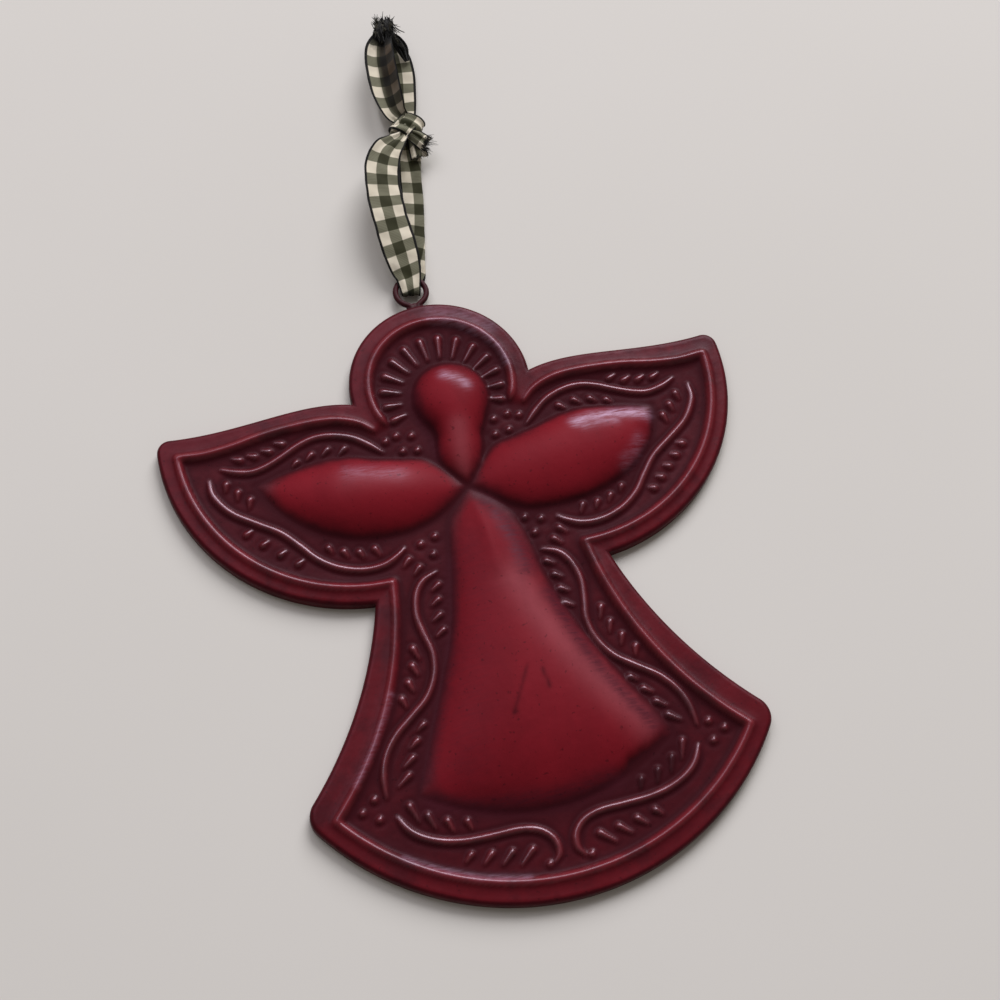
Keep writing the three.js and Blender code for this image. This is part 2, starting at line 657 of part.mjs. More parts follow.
// The wire, or the bore that it needs when it is grown by a gap.
function eyeWire(grow, steps) {
  const radius = WIRE_RADIUS + grow;
  const circle = new THREE.Shape(
    new THREE.EllipseCurve(0, 0, radius, radius, 0, 2 * Math.PI).getPoints(8).slice(0, -1),
  );
  return new THREE.ExtrudeGeometry(circle, { steps, bevelEnabled: false, extrudePath: eyeCurve(grow) });
}

// The slot in the rim through which both legs of the eye pass.
function eyeRoom() {
  const half = WIRE_RADIUS + FIT_GAP;
  const [left, right] = [EYE_OFFSET_X - EYE_LEG_SPACING / 2, EYE_OFFSET_X + EYE_LEG_SPACING / 2];
  const [low, high] = [HALO_TOP_Y - EYE_LEG_INSIDE, HALO_TOP_Y + EYE_NECK_LENGTH];
  const slot = [[left, high], [right, high], [right, low], [left, low]].map(plane);
  return solidOf(eyeWire(FIT_GAP, 40)).add(prism(slot, WIRE_HEIGHT - half, WIRE_HEIGHT + half));
}

// Front and back sheets

function frontSheet() {
  const outline = ornamentOutline(0.75);
  const field = fieldOutline();
  const rollLevels = [0, 0.5, 1].map((share) => {
    const angle = (share * Math.PI) / 2;
    return level(
      inset(outline, RIM_ROLL * (1 - Math.cos(angle))),
      RIM_HEIGHT - RIM_ROLL + RIM_ROLL * Math.sin(angle),
    );
  });
  let solid = solidOf(loft([level(outline, 0), ...rollLevels]));
  solid = solid.subtract(prism(field, FIELD_HEIGHT, RIM_HEIGHT + 1));
  const haloBox = prism(inset(outline, SHEET), SHEET, RIM_HEIGHT + RIDGE_HEIGHT);
  solid = solid.add(solidOf(eyeWire(FIT_GAP + SHEET, 40)).intersect(haloBox));
  for (const raised of [...embossing(), ...puffs(FIELD_HEIGHT, 1, PUFF_LEVELS)]) {
    solid = solid.add(raised);
  }
  const hollow = inset(outline, SHEET);
  solid = solid.subtract(prism(inset(outline, HEM_WIDTH), -1, SHEET + SINK));
  solid = solid.subtract(prism(hollow, SHEET, FIELD_HEIGHT - SHEET));
  const rimHollow = prism(hollow, SHEET, RIM_HEIGHT - SHEET).subtract(
    prism(inset(field, -(SHEET + RIDGE_HALF_WIDTH)), 0, RIM_HEIGHT + 1),
  );
  solid = solid.subtract(rimHollow);
  for (const hollowPuff of puffs(FIELD_HEIGHT - SHEET, 0.94, HOLLOW_LEVELS)) {
    solid = solid.subtract(hollowPuff);
  }
  return geometryOf(solid.subtract(eyeRoom()));
}

function backSheet() {
  const outline = ornamentOutline(0.5);
  const rimEdge = inset(outline, SHEET + FIT_GAP);
  const panelEdge = inset(outline, HEM_WIDTH + FIT_GAP);
  const panelInner = inset(outline, HEM_WIDTH + FIT_GAP + SHEET);
  const rim = prism(rimEdge, PLATE_RIM_BOTTOM, PLATE_RIM_TOP);
  const pan = prism(panelEdge, 0, PLATE_RIM_TOP);
  return geometryOf(rim.add(pan).subtract(prism(panelInner, SHEET, PLATE_RIM_TOP + 1)));
}

// Ribbon. Its pieces are drawn about the eye's centre, with +Y along the ribbon.

const BIGHT_BORE = WIRE_RADIUS + FIT_GAP;
const BIGHT_OUTER = BIGHT_BORE + RIBBON_THICK;
const BIGHT_END_RADIUS = Math.hypot(BIGHT_OUTER, BIGHT_RISE);
const LEG_OFFSET_Z = BIGHT_BORE + RIBBON_THICK / 2;

// A strip of cloth. Each station has its centre, the direction across the strip, the width there and how
// far its edges curl up from its middle.
function strip(stations, steps) {
  const through = (points) => new THREE.CatmullRomCurve3(points.map((p) => new THREE.Vector3(...p)));
  const centres = through(stations.map((station) => station.at));
  const across = through(stations.map((station) => station.across));
  const sizes = through(stations.map((station) => [station.width, station.curl, 0]));
  const columns = 4;
  const rings = [];
  for (let i = 0; i <= steps; i += 1) {
    const u = i / steps;
    const centre = centres.getPoint(u);
    const along = centres.getTangent(u);
    const side = across.getPoint(u);
    side.addScaledVector(along, -side.dot(along)).normalize();
    const normal = side.clone().cross(along).normalize();
    const { x: width, y: curl } = sizes.getPoint(u);
    const row = (offset) => Array.from({ length: columns + 1 }, (_, c) => {
      const share = (2 * c) / columns - 1;
      return centre.clone()
        .addScaledVector(side, (share * width) / 2)
        .addScaledVector(normal, offset + curl * share * share);
    });
    rings.push([...row(RIBBON_THICK / 2), ...row(-RIBBON_THICK / 2).reverse()]);
  }
  return loft(rings);
}

// One face of the fold, from its right end round to its left end. It is slack inside the eye.
function foldLine(half, reach) {
  const top = Math.sqrt(BIGHT_END_RADIUS ** 2 - half ** 2);
  const down = new THREE.CubicBezierCurve(
    new THREE.Vector2(half, -WIRE_RADIUS),
    new THREE.Vector2(half, -0.42 * reach),
    new THREE.Vector2(0.25 * reach, -reach),
    new THREE.Vector2(0, -reach),
  );
  const right = [new THREE.Vector2(half, top), ...down.getPoints(7)];
  return [...right, ...flipped(right.slice(0, -1))];
}

function bightSection() {
  const outside = foldLine(BIGHT_OUTER, BIGHT_REACH);
  const inside = foldLine(BIGHT_BORE, BIGHT_REACH - RIBBON_THICK);
  return new THREE.Shape([...outside, ...inside.reverse()]);
}

function bight() {
  const geometry = new THREE.ExtrudeGeometry(bightSection(), {
    depth: BIGHT_WIDTH,
    bevelEnabled: false,
  });
  geometry.translate(0, 0, -BIGHT_WIDTH / 2);
  geometry.rotateY(Math.PI / 2);
  geometry.translate(0, EYE_RADIUS, 0);
  return geometryOf(solidOf(geometry));
}

// The knot, or the room it needs when it is grown by a gap.
function knotSolid(grow) {
  const core = new THREE.SphereGeometry(1, 14, 9);
  core.scale(...KNOT_CORE.map((size) => size + grow));
  core.rotateZ(radians(KNOT_CORE_TURN));
  const edge = KNOT_BAND_WIDTH / 2 + grow;
  const band = new THREE.LatheGeometry([
    new THREE.Vector2(0, -edge),
    new THREE.Vector2(KNOT_BAND_SHOULDER + grow, -edge),
    new THREE.Vector2(KNOT_BAND_RADIUS + grow, 0),
    new THREE.Vector2(KNOT_BAND_SHOULDER + grow, edge),
    new THREE.Vector2(0, edge),
  ], 16);
  band.scale(1, 1, KNOT_FLATNESS);
  band.rotateZ(radians(KNOT_BAND_TURN));
  const height = RIBBON_FLOOR + KNOT_BAND_RADIUS * KNOT_FLATNESS - WIRE_HEIGHT;
  return solidOf(core).add(solidOf(band)).translate(KNOT_OFFSET_X, KNOT_CENTRE_Y, height);
}

// A leg ends at a running gap from the fold, on a round face about the axis that it swings on.
function outsideFold(geometry) {
  const radius = BIGHT_END_RADIUS + FIT_GAP;
  const room = new THREE.CylinderGeometry(radius, radius, 3 * BIGHT_WIDTH, 24);
  room.rotateZ(Math.PI / 2);
  room.translate(0, EYE_RADIUS, 0);
  return geometryOf(solidOf(geometry).subtract(solidOf(room)));
}

function outsideKnot(geometry) {
  return geometryOf(solidOf(geometry).subtract(knotSolid(FIT_GAP)));
}

// The stations of a strand, from its rows of shares.
function strand(rows, startY, length, startZ) {
  return rows.map(([aside, along, up, across, width, curl]) => ({
    at: [aside * RIBBON_WIDTH, startY + along * length, startZ + up * RIBBON_RISE],
    across,
    width: width * RIBBON_WIDTH,
    curl: curl * RIBBON_WIDTH,
  }));
}

function frontLeg() {
  const stations = strand(FRONT_LEG, LEG_START_Y, LOWER_LOOP_LENGTH, LEG_OFFSET_Z);
  return outsideFold(outsideKnot(strip(stations, 20)));
}

function backLeg() {
  const stations = strand(BACK_LEG, LEG_START_Y, LOWER_LOOP_LENGTH, -LEG_OFFSET_Z);
  return outsideFold(outsideKnot(strip(stations, 18)));
}

// The upper loop lies flat. Its top strand comes back below itself, shifted to the right.
function hookLoop() {
  const stations = strand(HOOK_LOOP, KNOT_CENTRE_Y, UPPER_LOOP_LENGTH, RIBBON_FLOOR - WIRE_HEIGHT);
  return outsideKnot(strip(stations, 51));
}

// A frayed end leaves the knot on its right. It widens over its length.
function tail({ start, end, across, height }) {
  const stations = [0, 0.4, 0.7, 1].map((share) => ({
    at: [
      THREE.MathUtils.lerp(start[0], end[0], share),
      KNOT_CENTRE_Y + THREE.MathUtils.lerp(start[1], end[1], share),
      height - WIRE_HEIGHT - share * share,
    ],
    across,
    width: TAIL_WIDTH * (0.62 + 0.38 * share),
    curl: 0.06 * TAIL_WIDTH,
  }));
  return outsideKnot(strip(stations, 7));
}

// Assembly

function piece(name, geometry, finish) {
  const mesh = new THREE.Mesh(geometry, new THREE.MeshStandardMaterial(finish));
  mesh.name = name;
  return mesh;
}

const tin = new THREE.Group();
tin.add(
  piece('front_shell', frontSheet(), TIN_RED),
  piece('back_plate', backSheet(), TIN_BACK),
  piece('hanging_eye', eyeWire(0, 46), WIRE_RED),
);

const ribbon = new THREE.Group();
ribbon.position.set(EYE_OFFSET_X, EYE_CENTRE_Y, WIRE_HEIGHT);
ribbon.rotation.z = radians(RIBBON_TURN);
ribbon.add(
  piece('ribbon_bight', bight(), CLOTH_DARK),
  piece('ribbon_front_leg', frontLeg(), CLOTH_LIGHT),
  piece('ribbon_back_leg', backLeg(), CLOTH_DARK),
  piece('ribbon_knot', geometryOf(knotSolid(0)), CLOTH_DARK),
  piece('ribbon_hook_loop', hookLoop(), CLOTH_LIGHT),
  piece('ribbon_upper_tail', tail(UPPER_TAIL), CLOTH_LIGHT),
  piece('ribbon_lower_tail', tail(LOWER_TAIL), CLOTH_LIGHT),
);

const ornament = new THREE.Group();
ornament.add(tin, ribbon);
ornament.updateMatrixWorld(true);

export default ornament;
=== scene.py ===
import math

import bmesh
import bpy
import numpy as np
from mathutils import Matrix, Vector


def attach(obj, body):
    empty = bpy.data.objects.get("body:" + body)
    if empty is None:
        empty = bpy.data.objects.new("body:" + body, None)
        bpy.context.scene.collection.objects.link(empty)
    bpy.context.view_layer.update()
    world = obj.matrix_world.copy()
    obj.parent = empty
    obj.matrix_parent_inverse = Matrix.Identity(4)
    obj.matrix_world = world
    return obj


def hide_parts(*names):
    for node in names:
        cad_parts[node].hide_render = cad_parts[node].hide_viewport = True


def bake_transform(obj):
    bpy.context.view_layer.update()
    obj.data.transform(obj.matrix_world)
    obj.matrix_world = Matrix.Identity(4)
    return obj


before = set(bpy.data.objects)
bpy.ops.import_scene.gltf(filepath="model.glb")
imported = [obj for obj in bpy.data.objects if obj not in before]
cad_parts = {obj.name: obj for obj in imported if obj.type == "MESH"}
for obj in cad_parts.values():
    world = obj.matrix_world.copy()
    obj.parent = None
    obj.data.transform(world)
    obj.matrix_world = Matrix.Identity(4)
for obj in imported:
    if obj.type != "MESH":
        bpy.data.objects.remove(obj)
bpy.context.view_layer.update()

MM = 0.001

# Sizes in millimetres and degrees that are the same as in the part's source

RIM_HEIGHT = 3.2
RIM_ROLL = 1.1
FIELD_HEIGHT = 2.6
HEM_WIDTH = 2.0
HALO_RADIUS = 22.75
HALO_CENTRE_Y = 29.1
WING_TIP = (71.5, 28.4)
WING_TIP_CUT = 3.4
WING_RADIUS = 47.3
WAIST = (28.9, -24.9)
SIDE_RADIUS = 105
SKIRT_CORNER = (56, -71.3)
SKIRT_CORNER_CUT = 4.2
SKIRT_BOTTOM_Y = -102.7
RIDGE_HALF_WIDTH = 1.35
RIDGE_HALO_RADIUS = 17.8
RIDGE_HALO_CENTRE_Y = 28.7
RIDGE_HALO_END = -27
RIDGE_TIP = (67.1, 22.4)
RIDGE_WING_RADIUS = 42.3
RIDGE_WAIST = (23.6, -20.6)
RIDGE_SIDE_RADIUS = 88
RIDGE_CORNER = (48.7, -73.7)
RIDGE_BOTTOM_Y = -97.5
RAY_COUNT = 14
RAY_SPACING = 16.25
RAY_CENTRE_Y = 25
RAY_START = 11
RAY_END_RADIUS = 15.6
RAY_END_RISE = 1.7
WIRE_RADIUS = 0.75
EYE_RADIUS = 3.95
EYE_CENTRE = (-0.95, 56.55, 1.95)
RIBBON_WIDTH = 10.0
RIBBON_TURN = -10.5

# Sizes of the finer relief and the cloth, which the source has plainer or not at all

RIDGE_HEIGHT = 1.25
RIDGE_TAPER = 0.03
VINE_HALF_WIDTH = 1.15
VINE_HEIGHT = 1.0
VINE_TAPER = 0.1
MARK_HALF_WIDTH = 1.1
MARK_HEIGHT = 1.05
MARK_FOOT = 0.9
BEAD_LENGTH = 2.3
BEAD_HALF_WIDTH = 1.15
BEAD_TURN = 60
RAY_HALF_WIDTH = 1.2
RAY_HEIGHT = 1.2
RAY_FOOT = 1.0
SWELL_HALF_WIDTH = 2.9
SWELL_HEIGHT = 0.45
RIBBON_THICK = 0.22
HEM_BEND = 0.3
CHECK = 3.1
ROW_PITCH = 6.7
THREAD_PITCH = 0.42

# Share of the ribbon's half width at which the selvedge begins
SELVEDGE = 0.855


# Camera, fitted to the photograph: its place, and the way to its right, down and ahead

CAMERA_PLACE = Vector((-59.710, -163.682, 379.043))
CAMERA_WAYS = Matrix((
    (0.965684, -0.251648, 0.064243),
    (-0.204432, -0.889064, -0.409602),
    (0.160192, 0.382413, -0.910000),
))


def in_scene(name, data):
    thing = bpy.data.objects.new(name, data)
    bpy.context.scene.collection.objects.link(thing)
    return thing


def place_camera():
    data = bpy.data.cameras.new("camera")
    data.sensor_width = 36
    data.lens = 61.2
    data.clip_start = 0.01
    data.clip_end = 20
    camera = in_scene("camera", data)
    turn = CAMERA_WAYS.transposed() @ Matrix.Diagonal((1, -1, -1))
    camera.matrix_world = Matrix.Translation(CAMERA_PLACE * MM) @ turn.to_4x4()
    bpy.context.scene.camera = camera


# Plane curves, in millimetres

def arc_about(centre, radius, start, end, steps):
    angles = np.radians(np.linspace(start, end, steps + 1))
    return np.stack([centre[0] + radius * np.cos(angles), centre[1] + radius * np.sin(angles)], 1)


def arc_between(start, end, radius, side, steps):
    """The arc from one point to another, which bulges to the left of the way there where side is 1."""
    start, end = np.array(start, float), np.array(end, float)
    half = (end - start) / 2
    rise = math.sqrt(max(radius ** 2 - half @ half, 0))
    across = np.array([half[1], -half[0]]) / math.hypot(*half)
    centre = start + half + across * side * rise
    first = math.atan2(*(start - centre)[::-1])
    sweep = math.atan2(*(end - centre)[::-1]) - first
    if side > 0 and sweep > 0:
        sweep -= 2 * math.pi
    if side < 0 and sweep < 0:
        sweep += 2 * math.pi
    return arc_about(centre, radius, math.degrees(first), math.degrees(first + sweep), steps)


def bottom_arc(corner, bottom, steps):
    drop = corner[1] - bottom
    return arc_between(corner, (0, bottom), (corner[0] ** 2 + drop ** 2) / (2 * drop), 1, steps)


def evenly(points, steps):
    """The same run of points, at even distances."""
    points = np.array(points, float)
    reach = np.concatenate([[0], np.cumsum(np.linalg.norm(np.diff(points[:, :3], axis=0), axis=1))])
    at = np.linspace(0, reach[-1], steps + 1)
    return np.stack([np.interp(at, reach, points[:, k]) for k in range(points.shape[1])], 1)


def smooth_line(points, steps):
    """A smooth line through points, whose way at each one follows the points beside it."""
    points = np.array(points, float)
    padded = np.vstack([2 * points[0] - points[1], points, 2 * points[-1] - points[-2]])
    fine = []
    for a, b, c, d in zip(padded[:-3], padded[1:-2], padded[2:-1], padded[3:]):
        for t in np.linspace(0, 1, 12, endpoint=False):
            fine.append(0.5 * (2 * b + (c - a) * t + (2 * a - 5 * b + 4 * c - d) * t ** 2
                               + (3 * b - a - 3 * c + d) * t ** 3))
    fine.append(points[-1])
    return evenly(fine, steps)


def cubic(a, b, c, d, steps):
    t = np.linspace(0, 1, steps + 1)[:, None]
    a, b, c, d = (np.array(p, float) for p in (a, b, c, d))
    return a * (1 - t) ** 3 + 3 * b * t * (1 - t) ** 2 + 3 * c * t ** 2 * (1 - t) + d * t ** 3


def rounded(before, after, cut):
    """Joins two clockwise runs whose shared corner is rounded."""
    corner = before[-1]
    kept = before[np.linalg.norm(before - corner, axis=1) > cut]
    ahead = after[np.linalg.norm(after - corner, axis=1) > cut]
    back = (kept[-1] - corner) / np.linalg.norm(kept[-1] - corner)
    on = (ahead[0] - corner) / np.linalg.norm(ahead[0] - corner)
    radius = cut * math.tan(math.acos(back @ on) / 2)
    return np.vstack([kept, arc_between(corner + back * cut, corner + on * cut, radius, 1, 10), ahead])


def mirrored(half):
    """A closed outline from its right half, which runs from the top of the axis to the bottom."""
    return np.vstack([half, half[1:-1][::-1] * (-1, 1)])


def inset(outline, distance):
    """Every side of a clockwise outline, moved inwards."""
    before = outline - np.roll(outline, 1, 0)
    after = np.roll(outline, -1, 0) - outline
    before /= np.linalg.norm(before, axis=1)[:, None]
    after /= np.linalg.norm(after, axis=1)[:, None]
    normal = np.stack([before[:, 1] + after[:, 1], -before[:, 0] - after[:, 0]], 1)
    normal /= np.linalg.norm(normal, axis=1)[:, None]
    spread = np.maximum(0.35, normal[:, 0] * after[:, 1] - normal[:, 1] * after[:, 0])
    return outline + normal * (distance / spread)[:, None]


def ornament_outline():
    halo = arc_about((0, HALO_CENTRE_Y), HALO_RADIUS, 90, -3, 60)
    top = cubic(halo[-1], (36, 32), (52, 25.6), WING_TIP, 60)
    edge = arc_between(WING_TIP, WAIST, WING_RADIUS, 1, 90)
    wing = rounded(top, edge, WING_TIP_CUT)
    side = arc_between(WAIST, SKIRT_CORNER, SIDE_RADIUS, -1, 60)
    hem = bottom_arc(SKIRT_CORNER, SKIRT_BOTTOM_Y, 76)
    skirt = rounded(side, hem, SKIRT_CORNER_CUT)
    return mirrored(np.vstack([halo, wing[1:], skirt[1:]]))


def ridge_half():
    top = smooth_line([(19.2, 19.4), (22, 21.9), (26, 23.7), (31, 24.6), (38, 24.6), (46, 23.9), (54, 22.5),
                       (61, 21.9), RIDGE_TIP], 60)
    edge = arc_between(RIDGE_TIP, RIDGE_WAIST, RIDGE_WING_RADIUS, 1, 80)
    side = arc_between(RIDGE_WAIST, RIDGE_CORNER, RIDGE_SIDE_RADIUS, -1, 60)
    bottom = bottom_arc(RIDGE_CORNER, RIDGE_BOTTOM_Y, 60)
    return np.vstack([top, edge[1:], side[1:], bottom[1:]])


def ridge_halo():
    return arc_about((0, RIDGE_HALO_CENTRE_Y), RIDGE_HALO_RADIUS, 180 - RIDGE_HALO_END, RIDGE_HALO_END, 120)


def field_outline():
    halo = ridge_halo()
    right = halo[halo[:, 0] > 0.2]
    return mirrored(np.vstack([[(0, halo[:, 1].max())], right, ridge_half()]))


# Heights of the embossed sheet, on a raster in millimetres

STEP = 0.44
GRID_X = np.arange(-166, 167) * STEP
GRID_Y = np.arange(-236, 121) * STEP
X, Y = np.meshgrid(GRID_X, GRID_Y)


def window(low, high):
    i = slice(max(0, int((low[0] - GRID_X[0]) / STEP)), int((high[0] - GRID_X[0]) / STEP) + 2)
    j = slice(max(0, int((low[1] - GRID_Y[0]) / STEP)), int((high[1] - GRID_Y[0]) / STEP) + 2)
    return j, i


def line_distance(points, reach):
    """How far each raster point is from a line, up to a reach, and where along the line, from 0 to 1."""
    points = np.array(points, float)
    near = np.full(X.shape, float(reach))
    along = np.zeros(X.shape)
    lengths = np.linalg.norm(np.diff(points, axis=0), axis=1)
    total = lengths.sum()
    done = 0
    for a, b, length in zip(points[:-1], points[1:], lengths):
        part = window(np.minimum(a, b) - reach, np.maximum(a, b) + reach)
        x, y = X[part] - a[0], Y[part] - a[1]
        t = np.clip((x * (b[0] - a[0]) + y * (b[1] - a[1])) / max(length, 1e-9) ** 2, 0, 1)
        d = np.hypot(x - t * (b[0] - a[0]), y - t * (b[1] - a[1]))
        better = d < near[part]
        near[part] = np.where(better, d, near[part])
        along[part] = np.where(better, (done + t * length) / total, along[part])
        done += length
    return near, along


def inside(outline):
    """Which raster points are inside a closed outline."""
    result = np.zeros(X.shape, bool)
    a, b = outline, np.roll(outline, -1, 0)
    for j, y in enumerate(GRID_Y + 1e-5):
        cut = (a[:, 1] > y) != (b[:, 1] > y)
        crossings = a[cut, 0] + (y - a[cut, 1]) * (b[cut, 0] - a[cut, 0]) / (b[cut, 1] - a[cut, 1])
        result[j] = (np.searchsorted(np.sort(crossings), GRID_X) % 2) == 1
    return result


def smoothstep(low, high, value):
    t = np.clip((value - low) / (high - low), 0, 1)
    return t * t * (3 - 2 * t)


def stroke(points, half_width, height, taper):
    """A raised line whose ends taper over a share of it. It gives its height and how deep its trough is."""
    near, along = line_distance(points, half_width * 2.4)
    end = np.clip(np.minimum(along, 1 - along) / taper, 0, 1)
    share = 0.45 + 0.55 * np.sin(end * math.pi / 2)
    t = near / (half_width * share)
    bump = np.cos(np.minimum(t, 1) * math.pi / 2) ** 1.4 * height * (0.35 + 0.65 * share)
    trough = np.exp(-((t - 1.2) / 0.4) ** 2) * (near < half_width * 2.3)
    return bump, trough


def mark(centre, turn, length, half_width, height):
    """A short mark whose fat end leads and whose thin end points along the turn."""
    along = np.array([math.cos(math.radians(turn)), math.sin(math.radians(turn))])
    start = np.array(centre) - along * (0.5 * length - half_width)
    end = np.array(centre) + along * (0.5 * length - half_width * 0.4)
    near, share = line_distance([start, end], half_width * 2.6)
    t = near / (half_width * (1 - 0.55 * share))
    bump = np.cos(np.minimum(t, 1) * math.pi / 2) ** 1.5 * height * (1 - 0.4 * share)
    trough = np.exp(-((t - 1.3) / 0.4) ** 2) * (near < half_width * 2.5) * 0.8
    return bump, trough


VINES = [
    [(18.3, 13.2), (21.5, 16.3), (25, 18.9), (29.5, 20.5), (33.8, 20.8), (38, 19.7), (42.4, 17.6),
     (46.5, 15.9), (50.4, 15.1), (54.4, 15.9), (57.7, 17.5)],
    [(61, 15.1), (60.6, 10.6), (57.4, 5.6), (52.2, 1.6), (46.8, -2.3), (42.9, -6.8), (39.6, -10.9),
     (35.2, -14.1), (29.8, -15.9), (24.6, -15.8), (20.9, -14.1), (19, -12.6)],
    [(13, -20.2), (16.9, -22), (19.2, -25.4), (20.2, -30.2), (19.6, -35), (18.7, -40), (19.5, -45),
     (22.4, -50), (27, -53.8), (31.6, -57.4), (34.8, -61.6), (36.4, -66), (36.8, -71)],
    [(35.6, -75.5), (33.6, -79.2), (30.4, -81.8), (26, -83.6), (21, -84.5), (15, -84.7), (9.4, -84.8),
     (5.2, -86), (2.6, -88.6), (2.1, -91.8), (3.6, -93.9)],
]

# Rows of marks: three points that the row bends through, how many on the right and on the left, the turn
# and the first and last length
MARK_ROWS = [
    ([(27.9, 15.9), (33.7, 16.6), (39.8, 14.9)], 4, 4, -40, 2.9, 2.4),
    ([(42.4, 21.1), (47, 19.5), (53.2, 19.1)], 4, 4, 25, 2.6, 2.6),
    ([(57.2, 12.6), (54.8, 9.8), (52.4, 7.3)], 3, 3, -75, 2.6, 2.8),
    ([(54.4, -0.6), (50.3, -5), (44, -10.8)], 5, 4, 150, 2.2, 2.2),
    ([(36.4, -8.9), (31, -11.5), (25.6, -11.8)], 4, 4, -115, 2.2, 2.8),
    ([(19.2, -16.3), (18.2, -17.5), (17.2, -18.8)], 2, 2, -45, 2.9, 2.9),
    ([(13.9, -23.9), (15.2, -29.5), (15.5, -35.3)], 4, 4, -32, 2.8, 3.0),
    ([(22.6, -38.8), (24.4, -44.5), (28, -49.9)], 4, 4, -108, 3.6, 3.0),
    ([(25.3, -56.5), (28.6, -61.5), (31.9, -67.8)], 4, 4, -36, 2.6, 4.2),
    ([(31.7, -75.5), (26.4, -79.4), (20.2, -80.9)], 4, 4, -108, 5.0, 2.8),
    ([(22, -88.2), (15.8, -89.8), (9.2, -91)], 4, 4, -42, 2.8, 5.0),
]

BEADS = [
    (10.5, 16.2), (14.2, 16.9), (17, 16), (13.5, 12.5), (9.9, 12), (11.2, -11.3), (15, -12.5), (12.6, -15.7),
    (39.6, -70.6), (42.8, -73), (39.4, -75.3), (4.9, -93.9),
]

# Outlines of the puffs. The head's runs up from its neck's right side to its left one, round the tip.
HEAD = [
    (8.2, 16), (6.7, 13.2), (6.2, 9.8), (4.6, 5.6), (2, 2.4), (0, 0.5), (-2.4, 3.4), (-5, 7.4), (-5.3, 10.4),
    (-4.7, 13.6), (-4.8, 16.4),
]
HEAD_CENTRE = (1.6, 24.3)
HEAD_RADIUS = 9.6
WING_UPPER = [
    (0.5, 0), (5.3, 5.9), (8.8, 9.2), (14, 10.4), (20, 11.8), (26, 13.6), (32, 14.2), (39, 13.5),
    (50.2, 11.2),
]
WING_LOWER = {
    1: [(50.2, 11.2), (49, 6.2), (46.4, 1), (41.6, -3.7), (35.2, -7), (26.4, -9.2), (18, -9.6),
        (11.5, -8.6), (5.6, -4.6), (0.5, 0)],
    -1: [(50.2, 11.2), (46.2, 4.2), (39.6, -2.6), (31, -7.2), (20, -8.8), (10.6, -6.8), (5.2, -3.8),
         (0.5, 0)],
}
SKIRT_RIGHT = [
    (0, -0.7), (5.2, -4.6), (8.8, -9.5), (10.2, -13.5), (11.2, -18.5), (12.4, -26), (14.9, -36), (19, -46.5),
    (24, -56.5), (29.6, -67), (30.3, -71.6),
]
SKIRT_LEFT = [
    (29.3, -71.6), (22, -56), (17.4, -46), (13.2, -36), (10.6, -26), (8.9, -18), (7.7, -11.5), (6, -6.8),
    (0, -0.7),
]
PUFF_CORNER = (30, -71.6)
PUFF_BOTTOM_Y = -81.6

# How each puff swells: how far in it levels off, how high it is and how round
HEAD_SWELL = (8, 4.6, 0.74)
SKIRT_SWELL = (15, 6.2, 0.95)
WING_SWELL = {1: (10, 4.4, 0.82), -1: (10, 4.4, 0.98)}

# The line that runs down from the skirt's tip
SPINE = [(-0.8, -2.8), (0.4, -7.7), (1.1, -13.7), (0.9, -19.5), (0.6, -26.2)]
SPINE_HEIGHT = 1.1
SPINE_WIDTH = 2.6

# The flattened corner: its centre, reach, turn and raggedness
FLATTENED = ((23.6, -77.8), (9.5, 5.2), 30, 0.22)


def head_outline():
    crown = arc_about(HEAD_CENTRE, HEAD_RADIUS, 212, -32, 70)
    return np.vstack([crown, smooth_line([crown[-1], *HEAD, crown[0]], 60)[1:-1]])


def wing_outline(side):
    return np.vstack([smooth_line(WING_UPPER, 60), smooth_line(WING_LOWER[side], 60)[1:-1]]) * (side, 1)


def skirt_outline():
    hem = bottom_arc(PUFF_CORNER, PUFF_BOTTOM_Y, 40)
    left = smooth_line(SKIRT_LEFT, 60)[1:-1] * (-1, 1)
    return np.vstack([smooth_line(SKIRT_RIGHT, 60), hem[1:], hem[1:-1][::-1] * (-1, 1), left])


def settle(skin, covered, pull, rounds):
    """Lets a skin that is held at the edge of what it covers find its rest under even pressure."""
    for _ in range(rounds):
        around = np.zeros_like(skin)
        around[1:-1, 1:-1] = skin[2:, 1:-1] + skin[:-2, 1:-1] + skin[1:-1, 2:] + skin[1:-1, :-2]
        skin = np.where(covered, (around + 1) / (4 + pull), 0)
    return skin


def pillow(outline, reach, height, roundness):
    """A skin blown up over an outline, flatter where it is wider than its reach."""
    covered = inside(outline)
    skin = None
    for level, rounds in ((4, 500), (2, 250), (1, 150)):
        part = covered[::level, ::level]
        if skin is None:
            skin = np.zeros(part.shape)
        else:
            skin = 4 * np.repeat(np.repeat(skin, 2, 0), 2, 1)[:part.shape[0], :part.shape[1]]
        skin = settle(skin, part, (STEP * level / reach) ** 2, rounds)
    bump = height * (skin / skin.max()) ** roundness
    near, _ = line_distance(np.vstack([outline, outline[:1]]), 6)
    return bump, np.where(covered, near, -near)


def ray_marks():
    """Centre, turn and length of each ray. They end on an arc whose centre is higher than theirs."""
    marks = []
    for i in range(RAY_COUNT):
        angle = math.radians(90 + RAY_SPACING * (i - (RAY_COUNT - 1) / 2))
        toward = np.array([math.cos(angle), math.sin(angle)])
        reach = RAY_END_RISE * toward[1] + math.sqrt(RAY_END_RADIUS ** 2 - (RAY_END_RISE * toward[0]) ** 2)
        centre = np.array([0, RAY_CENTRE_Y]) + toward * (reach + RAY_START) / 2
        marks.append((centre, math.degrees(angle) + 180, reach - RAY_START))
    return marks


